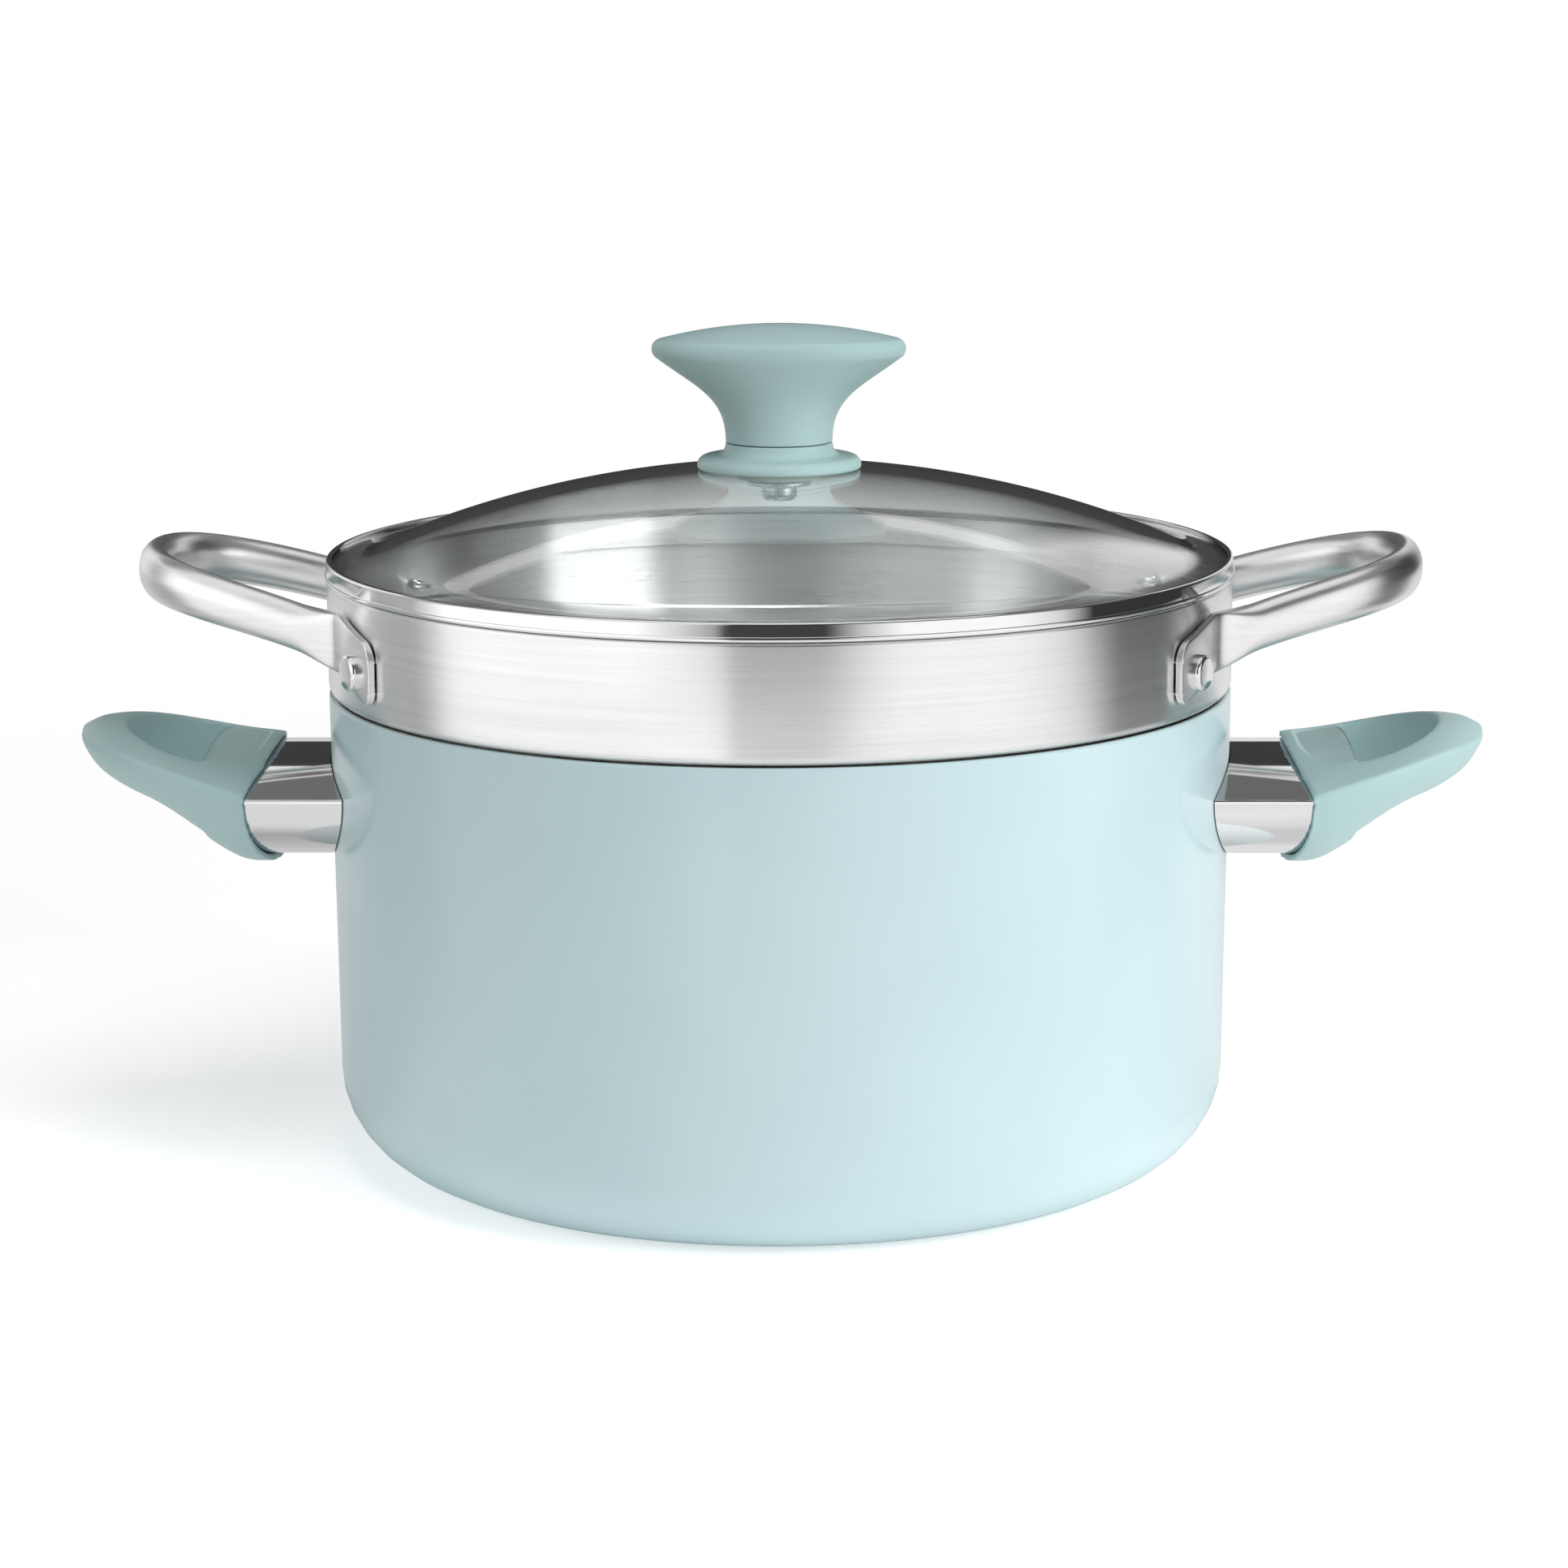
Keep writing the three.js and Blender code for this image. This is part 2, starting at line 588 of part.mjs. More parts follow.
// A round neck that flares to a long oval top with a crown, bored for the nut and its screw.
function knobSolid() {
  const neck = KNOB_NECK_DIAMETER / 2;
  const [halfLength, halfWidth] = [KNOB_LENGTH / 2, KNOB_WIDTH / 2];
  const widest = knobTop - KNOB_CROWN;
  const rings = [];
  for (let i = 0; i <= KNOB_FLARE_STEPS; i++) {
    const share = i / KNOB_FLARE_STEPS;
    const out = THREE.MathUtils.smoothstep(share ** KNOB_FLARE, 0, 1);
    const z = THREE.MathUtils.lerp(knobFoot, widest, share);
    rings.push(
      knobRing(z, THREE.MathUtils.lerp(neck, halfLength, out), THREE.MathUtils.lerp(neck, halfWidth, out)),
    );
  }
  for (let i = 1; i < KNOB_CROWN_STEPS; i++) {
    const share = Math.cos((Math.PI / 2) * (i / KNOB_CROWN_STEPS));
    const z = widest + KNOB_CROWN * Math.sin((Math.PI / 2) * (i / KNOB_CROWN_STEPS));
    rings.push(knobRing(z, halfLength * share, halfWidth * share));
  }
  const foot = new THREE.Vector3(0, 0, knobFoot);
  const crown = new THREE.Vector3(0, 0, knobTop);
  const bore = bar(nutBore, knobFoot - CUT_MARGIN, knobFoot + KNOB_NUT_LENGTH + 2 * SEAT_GAP);
  return loft(rings, foot, crown).subtract(bore);
}

function knobNut() {
  const foot = knobFoot + SEAT_GAP;
  return bar(KNOB_NUT_DIAMETER, foot, foot + KNOB_NUT_LENGTH).subtract(
    bar(screwBore, foot - CUT_MARGIN, foot + KNOB_NUT_LENGTH + CUT_MARGIN),
  );
}

function disc(diameter, bore, top, thickness) {
  const whole = bar(diameter, top - thickness, top, SMALL_FACETS);
  return whole.subtract(bar(bore, top - thickness - CUT_MARGIN, top + CUT_MARGIN));
}

// A screw along Z with its head below, as a shank and a rounded head.
function screw(diameter, headDiameter, headHeight, headTop, end) {
  const head = headDiameter / 2;
  return revolve(
    outline([
      [0, headTop - headHeight],
      [head, headTop - headHeight, headHeight / 2],
      [head, headTop],
      [diameter / 2, headTop],
      [diameter / 2, end],
      [0, end],
    ]),
    BOLT_FACETS,
  );
}

// Side handles of the pot

const handleZ = POT_HEIGHT - HANDLE_DROP;
const handleRoot = potOuterAt(handleZ);
const gripStart = handleRoot + FERRULE_LENGTH;
const ferruleEnd = gripStart + GRIP_SETBACK + SOCKET_LAND;
const webStart = ferruleEnd + SEAT_GAP;
const holeStart = webStart + GRIP_WEB;
const gripTip = gripStart + GRIP_LENGTH;
const studEnd = handleRoot + STUD_LENGTH;
const screwHeadFace = holeStart - GRIP_SCREW_HEAD_HEIGHT;

// One ring of a handle's section: a parabola above its ridge and half an ellipse below.
// Its sides stand back along the handle by the setback.
function handleRing(x, halfWidth, top, ridge, bottom, setback = 0) {
  const ring = [];
  for (let i = 0; i < SECTION_POINTS; i++) {
    const turn = (2 * Math.PI * i) / SECTION_POINTS;
    const [side, rise] = [Math.cos(turn), Math.sin(turn)];
    const height = rise > 0 ? ridge + (top - ridge) * rise ** 2 : ridge + (ridge - bottom) * rise;
    ring.push(new THREE.Vector3(x + setback * side ** 2, halfWidth * side, handleZ + height));
  }
  return ring;
}

// A straight bar of the ferrule's section, larger all round by grow.
function ferruleBar(from, to, grow) {
  const sizes = [FERRULE_WIDTH / 2 + grow, FERRULE_TOP + grow, FERRULE_RIDGE, -FERRULE_BOTTOM - grow];
  const rings = [from, to].map((x) => handleRing(x, ...sizes));
  return loft(rings, middle(rings[0]), middle(rings[1]));
}

// A sleeve between the pot's wall and the grip.
function ferrule() {
  const from = handleRoot - FERRULE_WIDTH / 2;
  const bore = ferruleBar(from - CUT_MARGIN, ferruleEnd + CUT_MARGIN, -FERRULE_WALL);
  return ferruleBar(from, ferruleEnd, 0).subtract(bore).subtract(potEnvelope());
}

// The finger hole's upright cutter: straight along the web and half an ellipse round the tip.
function fingerHole() {
  const start = (holeStart - gripStart) / GRIP_LENGTH;
  const half = gripHalfWidth(start) - GRIP_RAIL;
  const reach = gripTip - GRIP_TIP_RAIL - holeStart;
  const shape = new THREE.Shape(
    new THREE.EllipseCurve(holeStart, 0, reach, half, -Math.PI / 2, Math.PI / 2).getPoints(HOLE_STEPS),
  );
  const depth = 4 * (FERRULE_TOP + FERRULE_BOTTOM);
  const prism = new THREE.ExtrudeGeometry(shape, { depth, bevelEnabled: false });
  return solidFrom(prism.translate(0, 0, handleZ - depth / 2));
}

function gripHalfWidth(share) {
  return (FERRULE_WIDTH / 2 + SEAT_GAP + GRIP_LIP) * Math.sqrt(1 - share ** 2);
}

// A wedge, deep at the ferrule and thin at its raised tip, with a finger hole and a socket for the ferrule.
function grip() {
  const lip = SEAT_GAP + GRIP_LIP;
  const rings = [];
  for (let i = 0; i <= GRIP_STEPS; i++) {
    const share = GRIP_TIP_SHARE * Math.sin((Math.PI / 2) * (i / GRIP_STEPS));
    rings.push(
      handleRing(
        gripStart + share * GRIP_LENGTH,
        gripHalfWidth(share),
        FERRULE_TOP + lip + along(GRIP_TOP, share),
        FERRULE_RIDGE + along(GRIP_RIDGE, share),
        -FERRULE_BOTTOM - lip + along(GRIP_BOTTOM, share),
        i ? 0 : GRIP_SETBACK,
      ),
    );
  }
  const tip = middle(rings.at(-1)).setX(gripTip);
  const socket = ferruleBar(gripStart - CUT_MARGIN, webStart, SEAT_GAP);
  const shank = bar(GRIP_SCREW_DIAMETER + 2 * SEAT_GAP, gripStart, holeStart);
  const headBore = GRIP_SCREW_HEAD_DIAMETER + 2 * SEAT_GAP;
  const counterbore = bar(headBore, screwHeadFace - SEAT_GAP, holeStart + CUT_MARGIN);
  return loft(rings, middle(rings[0]).setX(gripStart), tip)
    .subtract(socket)
    .subtract(fingerHole())
    .subtract(onHandle(shank.add(counterbore)));
}

// Lays a solid that was made along Z out along X on the handle's middle line.
const onHandle = (solid) => solid.rotate([0, 90, 0]).translate([0, 0, handleZ]);

// A threaded boss welded to the pot's wall.
function stud() {
  const thread = bar(GRIP_SCREW_DIAMETER + 2 * SEAT_GAP, handleRoot, studEnd + CUT_MARGIN);
  const boss = bar(STUD_DIAMETER, handleRoot - CUT_MARGIN, studEnd).subtract(thread);
  return onHandle(boss).subtract(potEnvelope());
}

// Its head lies in the web's counterbore and its thread runs in towards the pot.
function gripScrew() {
  const driven = screw(
    GRIP_SCREW_DIAMETER,
    GRIP_SCREW_HEAD_DIAMETER,
    GRIP_SCREW_HEAD_HEIGHT,
    -screwHeadFace,
    GRIP_SCREW_ENGAGEMENT - studEnd,
  );
  return onHandle(driven.mirror([0, 0, 1]));
}

// Assembly

function sideHandle(side) {
  const handle = new THREE.Group();
  handle.add(
    piece(`${side}_handle_stud`, stud(), BRUSHED_STEEL),
    piece(`${side}_ferrule`, ferrule(), POLISHED_STEEL),
    piece(`${side}_grip`, grip(), AQUA_PLASTIC),
    piece(`${side}_grip_screw`, gripScrew(), POLISHED_STEEL),
  );
  return handle;
}

const cutAll = (solid, tools) => tools.reduce((rest, tool) => rest.subtract(tool), solid);

const potAssembly = new THREE.Group();
const leftHandle = sideHandle("left");
leftHandle.rotation.z = Math.PI;
potAssembly.add(piece("pot_shell", revolve(potProfile()), AQUA_PAINT), sideHandle("right"), leftHandle);

const insertAssembly = new THREE.Group();
const basket = cutAll(revolve(insertProfile()), [...floorDrills(), ...wallDrills(), ...rivetDrills()]);
insertAssembly.add(piece("pasta_insert", basket, BRUSHED_STEEL));
const loop = loopHandle();
for (const [side, turn] of [["right", 0], ["left", 180]]) {
  const drilled = cutAll(loop.rotate([0, 0, turn]), rivetDrills());
  insertAssembly.add(piece(`${side}_loop_handle`, drilled, BRUSHED_STEEL));
}
for (const [place, turn] of RIVET_PLACES) {
  insertAssembly.add(piece(`${place}_rivet`, atRivet(rivet(), turn), POLISHED_STEEL));
}

const lidAssembly = new THREE.Group();
lidAssembly.add(
  piece("lid_glass", revolve(glassProfile()), CLEAR_GLASS),
  piece("lid_rim", revolve(rimProfile()), POLISHED_STEEL),
  piece("knob_collar", revolve(collarProfile(), SMALL_FACETS), AQUA_PLASTIC),
  piece("knob", knobSolid(), AQUA_PLASTIC),
  piece("knob_nut", knobNut(), BRUSHED_STEEL),
  piece("lid_gasket", disc(GASKET_DIAMETER, screwBore, gasketTop, GASKET_THICKNESS), SILICONE),
  piece("knob_washer", disc(WASHER_DIAMETER, screwBore, washerTop, WASHER_THICKNESS), POLISHED_STEEL),
  piece(
    "knob_screw",
    screw(
      KNOB_SCREW_DIAMETER,
      SCREW_HEAD_DIAMETER,
      SCREW_HEAD_HEIGHT,
      screwHeadTop,
      knobFoot + SEAT_GAP + KNOB_SCREW_ENGAGEMENT,
    ),
    POLISHED_STEEL,
  ),
);

const pastaPot = new THREE.Group();
pastaPot.add(potAssembly, insertAssembly, lidAssembly);

export default pastaPot;
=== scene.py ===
"""Looks of the pasta pot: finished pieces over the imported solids, their finishes, the studio and the camera.

Everything is in metres in the part's own frame: +Z up, +X towards the right-hand handles.
The origin is under the middle of the pot.
"""

import logging
import math
from dataclasses import dataclass, field
from enum import Enum
from typing import Callable, Iterable, Sequence

import bmesh
import bpy
from mathutils import Matrix, Vector
from mathutils.geometry import interpolate_bezier


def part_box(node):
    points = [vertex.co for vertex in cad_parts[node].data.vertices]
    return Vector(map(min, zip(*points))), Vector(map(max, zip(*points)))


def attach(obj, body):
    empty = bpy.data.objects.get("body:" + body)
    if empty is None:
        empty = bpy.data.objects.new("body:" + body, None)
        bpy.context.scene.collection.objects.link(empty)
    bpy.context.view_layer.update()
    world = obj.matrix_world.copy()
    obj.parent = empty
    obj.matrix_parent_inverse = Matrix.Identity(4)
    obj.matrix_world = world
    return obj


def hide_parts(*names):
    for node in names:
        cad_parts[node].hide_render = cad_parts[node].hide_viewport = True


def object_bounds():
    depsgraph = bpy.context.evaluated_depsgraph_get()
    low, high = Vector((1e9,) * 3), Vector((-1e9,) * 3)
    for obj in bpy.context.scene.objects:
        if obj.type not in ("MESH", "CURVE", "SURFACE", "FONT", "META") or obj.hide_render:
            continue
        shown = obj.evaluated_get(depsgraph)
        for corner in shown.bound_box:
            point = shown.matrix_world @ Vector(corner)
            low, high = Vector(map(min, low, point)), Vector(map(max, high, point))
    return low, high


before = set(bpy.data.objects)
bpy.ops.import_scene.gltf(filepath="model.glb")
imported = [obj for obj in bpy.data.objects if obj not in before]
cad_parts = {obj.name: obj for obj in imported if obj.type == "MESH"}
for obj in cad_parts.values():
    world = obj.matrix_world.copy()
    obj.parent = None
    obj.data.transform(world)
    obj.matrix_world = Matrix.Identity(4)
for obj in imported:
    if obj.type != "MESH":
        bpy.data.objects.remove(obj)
CAD_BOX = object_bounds()

LOG = logging.getLogger("pasta_pot")
MM = 0.001
MERGE_DISTANCE = 1e-6
ROUND_STEPS = 192
SMALL_ROUND_STEPS = 64
FILLET_STEPS = 8
HEX_SIDES = 6
SHARP_ANGLE = math.radians(32)
BEND_PULL = 2 / 3
SEAT_GAP = 0.3 * MM
OPAQUE = 1.0
WHITE = (1.0, 1.0, 1.0, OPAQUE)
FULL_TURN = 360

Colour = tuple[float, float, float]
Stations = tuple[tuple[float, float], ...]


class Body(str, Enum):
    """The bodies that move apart."""

    POT = "pot"
    INSERT = "insert"
    LID = "lid"


class Slot(str, Enum):
    """The record's material slots."""

    PAINT = "aqua_paint"
    PLASTIC = "aqua_plastic"
    BRUSHED = "brushed_steel"
    SATIN = "satin_steel"
    BRIGHT = "bright_steel"
    PLAIN = "plain_steel"
    GLASS = "lid_glass"
    SILICONE = "silicone"


class Side(Enum):
    """The two sides of the pot, as turns about its axis from the right-hand one."""

    RIGHT = 0.0
    LEFT = math.pi

    @property
    def word(self) -> str:
        """The side's word in node names."""
        return self.name.lower()

    @property
    def turn(self) -> Matrix:
        """The turn that takes the right-hand side to this one."""
        return Matrix.Rotation(self.value, 4, "Z")


def from_screen(red: int, green: int, blue: int) -> Colour:
    """Turns a colour as a screen shows it into the linear values that shaders use.

    Args:
        red: Red from 0 to 255.
        green: Green from 0 to 255.
        blue: Blue from 0 to 255.

    Returns:
        The linear colour.
    """
    shares = (value / 255 for value in (red, green, blue))
    return tuple(s / 12.92 if s <= 0.04045 else ((s + 0.055) / 1.055) ** 2.4 for s in shares)


def mix(start: float, end: float, share: float) -> float:
    """Gives the value at a share of the way from start to end."""
    return start + (end - start) * share


def ease(share: float) -> float:
    """Gives a share that starts and ends gently."""
    return share * share * (3 - 2 * share)


# Mesh making


@dataclass(frozen=True)
class Corner:
    """A corner of a turned profile.

    Attributes:
        radius: Distance from the axis.
        height: Height along the axis.
        fillet: Length of the rounding along each side of the corner.
    """

    radius: float
    height: float
    fillet: float = 0.0


def new_object(name: str, work: bmesh.types.BMesh) -> bpy.types.Object:
    """Makes a linked object of a finished bmesh, with smooth faces and sharp edges.

    Args:
        name: The object's name.
        work: The bmesh, which is freed.

    Returns:
        The new object, at the origin.
    """
    mesh = bpy.data.meshes.new(name)
    work.to_mesh(mesh)
    work.free()
    piece = bpy.data.objects.new(name, mesh)
    bpy.context.scene.collection.objects.link(piece)
    soften(piece)
    return piece


def soften(piece: bpy.types.Object, angle: float = SHARP_ANGLE) -> None:
    """Shades a piece smooth, apart from edges sharper than the angle."""
    piece.data.polygons.foreach_set("use_smooth", [True] * len(piece.data.polygons))
    piece.data.set_sharp_from_angle(angle=angle)


def tidy(work: bmesh.types.BMesh) -> None:
    """Merges double vertices and points all faces outwards.

    Args:
        work: The bmesh to tidy.
    """
    bmesh.ops.remove_doubles(work, verts=work.verts[:], dist=MERGE_DISTANCE)
    bmesh.ops.dissolve_degenerate(work, edges=work.edges[:], dist=MERGE_DISTANCE)
    bmesh.ops.recalc_face_normals(work, faces=work.faces[:])


def round_off(
    work: bmesh.types.BMesh, geom: Sequence, offset: float, affect: str, segments: int = FILLET_STEPS
) -> None:
    """Rounds corners or edges of a bmesh.

    Args:
        work: The bmesh.
        geom: The vertices or edges to round.
        offset: Length of the rounding along each side.
        affect: VERTICES for corners, EDGES for edges.
        segments: Number of facets of the rounding.
    """
    bmesh.ops.bevel(
        work,
        geom=geom,
        offset=offset,
        offset_type="OFFSET",
        affect=affect,
        segments=segments,
        profile=0.5,
        material=-1,
    )


def round_bend(start: Vector, corner: Vector, end: Vector, steps: int) -> list[Vector]:
    """Draws a round bend.

    Args:
        start: Where it starts.
        corner: Where its two end directions meet.
        end: Where it ends.
        steps: Number of its points.

    Returns:
        The points, with both ends.
    """
    return interpolate_bezier(start, start.lerp(corner, BEND_PULL), end.lerp(corner, BEND_PULL), end, steps)


def turn_profile(work: bmesh.types.BMesh, steps: int) -> None:
    """Spins the wire in a bmesh fully about the Z axis.

    Args:
        work: The bmesh.
        steps: Number of sides of the turned shape.
    """
    bmesh.ops.spin(
        work,
        geom=work.verts[:] + work.edges[:],
        cent=(0, 0, 0),
        axis=(0, 0, 1),
        dvec=(0, 0, 0),
        angle=math.tau,
        steps=steps,
        use_merge=True,
        use_duplicate=False,
    )
    tidy(work)


def turned_mesh(corners: Sequence[Corner], steps: int = ROUND_STEPS) -> bmesh.types.BMesh:
    """Rounds the corners of a profile and spins it about the Z axis.

    Args:
        corners: The profile in order. It is closed, unless both its ends are on the axis.
        steps: Number of sides of the turned shape.

    Returns:
        The closed turned shape.
    """
    work = bmesh.new()
    verts = [work.verts.new((corner.radius, 0, corner.height)) for corner in corners]
    pairs = list(zip(verts, verts[1:]))
    if corners[0].radius or corners[-1].radius:
        pairs.append((verts[-1], verts[0]))
    for pair in pairs:
        work.edges.new(pair)
    for vert, corner in zip(verts, corners):
        if corner.fillet:
            round_off(work, [vert], corner.fillet, "VERTICES")
    turn_profile(work, steps)
    return work


def bar_mesh(diameter: float, start: float, end: float, steps: int = SMALL_ROUND_STEPS) -> bmesh.types.BMesh:
    """Makes a plain round bar along Z, for cutting.

    Args:
        diameter: The bar's diameter.
        start: Height of one end.
        end: Height of the other end.
        steps: Number of sides.

    Returns:
        The closed bar.
    """
    work = bmesh.new()
    radius = diameter / 2
    place = Matrix.Translation((0, 0, (start + end) / 2))
    bmesh.ops.create_cone(
        work,
        cap_ends=True,
        segments=steps,
        radius1=radius,
        radius2=radius,
        depth=end - start,
        matrix=place,
    )
    return work


class Loft:
    """A skin over a row of closed rings."""

    def __init__(self) -> None:
        """Starts with no rings."""
        self.work = bmesh.new()
        self.rings: list[list[bmesh.types.BMVert]] = []

    def add(self, points: Sequence[Vector]) -> None:
        """Adds a ring, and bridges it to the ring before.

        Args:
            points: The ring's points in order.
        """
        made = bmesh.ops.create_circle(self.work, cap_ends=False, segments=len(points), radius=1)
        ring = made["verts"]
        for vert, point in zip(ring, points):
            vert.co = point
        if self.rings:
            self.bridge(self.rings[-1], ring)
        self.rings.append(ring)

    def bridge(self, first: Sequence[bmesh.types.BMVert], second: Sequence[bmesh.types.BMVert]) -> None:
        """Bridges two rings."""
        edges = self.edges_of(first) + self.edges_of(second)
        bmesh.ops.bridge_loops(self.work, edges=edges)

    def edges_of(self, ring: Sequence[bmesh.types.BMVert]) -> list[bmesh.types.BMEdge]:
        """Gives the edges of one ring in the order of its points."""
        return [self.work.edges.get(pair) for pair in zip(ring, [*ring[1:], ring[0]])]

    def close(self) -> bmesh.types.BMesh:
        """Caps both ends.

        Returns:
            The closed shape.
        """
        for ring in (self.rings[0], self.rings[-1]):
            bmesh.ops.contextual_create(self.work, geom=self.edges_of(ring))
        return self.finish()

    def join_ends(self) -> bmesh.types.BMesh:
        """Bridges the last ring to the first and gives the closed tube."""
        self.bridge(self.rings[-1], self.rings[0])
        return self.finish()

    def finish(self) -> bmesh.types.BMesh:
        """Gives the shape with its faces pointing outwards."""
        bmesh.ops.recalc_face_normals(self.work, faces=self.work.faces[:])
        return self.work


def settle(piece: bpy.types.Object) -> None:
    """Applies a piece's modifiers to its mesh.

    Args:
        piece: The piece, which keeps no modifiers.
    """
    graph = bpy.context.evaluated_depsgraph_get()
    made = bpy.data.meshes.new_from_object(piece.evaluated_get(graph))
    old = piece.data
    piece.modifiers.clear()
    piece.data = made
    bpy.data.meshes.remove(old)
    made.name = piece.name


def carve(piece: bpy.types.Object, tools: Iterable[bmesh.types.BMesh]) -> None:
    """Cuts tools out of a piece.

    Args:
        piece: The piece to cut.
        tools: Closed shapes that don't overlap each other. They are freed.
    """
    joined = bpy.data.meshes.new("cutters")
    whole = bmesh.new()
    for tool in tools:
        tool.to_mesh(joined)
        tool.free()
        whole.from_mesh(joined)
    cutter = new_object("cutter", whole)
    cut = piece.modifiers.new("cut", "BOOLEAN")
    cut.operation = "DIFFERENCE"
    cut.solver = "EXACT"
    cut.object = cutter
    settle(piece)
    for mesh in (joined, cutter.data):
        bpy.data.meshes.remove(mesh)


def moved(work: bmesh.types.BMesh, place: Matrix) -> bmesh.types.BMesh:
    """Moves a whole bmesh and gives it back."""
    work.transform(place)
    return work


# Shader effects shared by several finishes


@dataclass
class Shader:
    """A node tree with short ways to add and join nodes."""

    tree: bpy.types.NodeTree

    def add(self, kind: str, **values: object) -> bpy.types.Node:
        """Adds a node.

        Args:
            kind: The node's type name.
            **values: Attributes of the node.

        Returns:
            The new node.
        """
        node = self.tree.nodes.new(kind)
        for name, value in values.items():
            setattr(node, name, value)
        return node

    def join(self, source: bpy.types.NodeSocket, target: bpy.types.NodeSocket) -> None:
        """Links an output to an input."""
        self.tree.links.new(source, target)

    def maths(self, operation: str, *terms: bpy.types.NodeSocket | float) -> bpy.types.NodeSocket:
        """Works out a value.

        Args:
            operation: The Math node's operation.
            *terms: Sockets or numbers, in the order of the node's inputs.

        Returns:
            The node's output.
        """
        node = self.add("ShaderNodeMath", operation=operation)
        for term, target in zip(terms, node.inputs):
            if isinstance(term, bpy.types.NodeSocket):
                self.join(term, target)
            else:
                target.default_value = term
        return node.outputs[0]

    def noise(self, vector: bpy.types.NodeSocket, scale: float, detail: float) -> bpy.types.NodeSocket:
        """Adds a noise texture.

        Args:
            vector: Its place.
            scale: Its scale.
            detail: Number of its finer layers.

        Returns:
            Its grey value.
        """
        node = self.add("ShaderNodeTexNoise")
        self.join(vector, node.inputs["Vector"])
        node.inputs["Scale"].default_value = scale
        node.inputs["Detail"].default_value = detail
        return node.outputs[0]

    def average(self, first: bpy.types.NodeSocket, second: bpy.types.NodeSocket) -> bpy.types.NodeSocket:
        """Gives the middle of two grey values."""
        return self.maths("MULTIPLY", self.maths("ADD", first, second), 0.5)

    def between(self, share: bpy.types.NodeSocket, low: float, high: float) -> bpy.types.NodeSocket:
        """Spreads a noise's grey value, which is mostly from 0.3 to 0.7.

        Args:
            share: The grey value.
            low: What the darkest grey becomes.
            high: What the lightest grey becomes.

        Returns:
            The spread value.
        """
        node = self.add("ShaderNodeMapRange")
        self.join(share, node.inputs["Value"])
        settings = {"From Min": 0.3, "From Max": 0.7, "To Min": low, "To Max": high}
        for name, value in settings.items():
            node.inputs[name].default_value = value
        return node.outputs[0]

    def blend(self, share: bpy.types.NodeSocket, first: Colour, second: Colour) -> bpy.types.NodeSocket:
        """Mixes two colours.

        Args:
            share: The second colour's share.
            first: The first colour.
            second: The second colour.

        Returns:
            The mixed colour.
        """
        node = self.add("ShaderNodeMix", data_type="RGBA")
        self.join(share, node.inputs["Factor"])
        a, b = (socket for socket in node.inputs if socket.name in "AB" and socket.type == "RGBA")
        a.default_value = (*first, OPAQUE)
        b.default_value = (*second, OPAQUE)
        return next(socket for socket in node.outputs if socket.type == "RGBA")

    def mix_shaders(
        self, share: bpy.types.NodeSocket, first: bpy.types.Node, second: bpy.types.Node
    ) -> bpy.types.NodeSocket:
        """Mixes two shaders.

        Args:
            share: The second shader's share.
            first: The first shader's node.
            second: The second shader's node.

        Returns:
            The mixed shader.
        """
        node = self.add("ShaderNodeMixShader")
        for source, target in zip((share, first.outputs[0], second.outputs[0]), node.inputs):
            self.join(source, target)
        return node.outputs[0]


class Effect(str, Enum):
    """Surface effects that several finishes share, each built once as a node group."""

    GRAIN = "moulded_grain"
    LINES = "brushed_lines"
    SMUDGES = "handling_smudges"

    def place(self, shader: Shader, **values: float) -> bpy.types.Node:
        """Places the effect in a material.

        Args:
            shader: The material's nodes.
            **values: Values for the group's inputs, by name.

        Returns:
            The group node.
        """
        node = shader.add("ShaderNodeGroup", node_tree=self.tree())
        for name, value in values.items():
            node.inputs[name].default_value = value
        return node

    def tree(self) -> bpy.types.NodeTree:
        """Finds the effect's node group, and builds it at its first use.

        Returns:
            The node group.
        """
        known = bpy.data.node_groups.get(self.value)
        if known:
            return known
        tree = bpy.data.node_groups.new(self.value, "ShaderNodeTree")
        builders: dict[Effect, Callable[[bpy.types.NodeTree], None]] = {
            Effect.GRAIN: build_grain,
            Effect.LINES: build_lines,
            Effect.SMUDGES: build_smudges,
        }
        builders[self](tree)
        return tree


def group_ends(
    tree: bpy.types.NodeTree, inputs: dict[str, float], outputs: Sequence[str]
) -> tuple[Shader, dict[str, bpy.types.NodeSocket]]:
    """Gives a node group its sockets.

    Args:
        tree: The new group.
        inputs: Names and default values of its inputs.
        outputs: Names of its outputs.

    Returns:
        The group's nodes, and its inner sockets by name.
    """
    for name, value in inputs.items():
        socket = tree.interface.new_socket(name, in_out="INPUT", socket_type="NodeSocketFloat")
        socket.default_value = value
    for name in outputs:
        tree.interface.new_socket(name, in_out="OUTPUT", socket_type="NodeSocketFloat")
    shader = Shader(tree)
    sockets = {socket.name: socket for socket in shader.add("NodeGroupInput").outputs if socket.name}
    sockets |= {socket.name: socket for socket in shader.add("NodeGroupOutput").inputs if socket.name}
    return shader, sockets


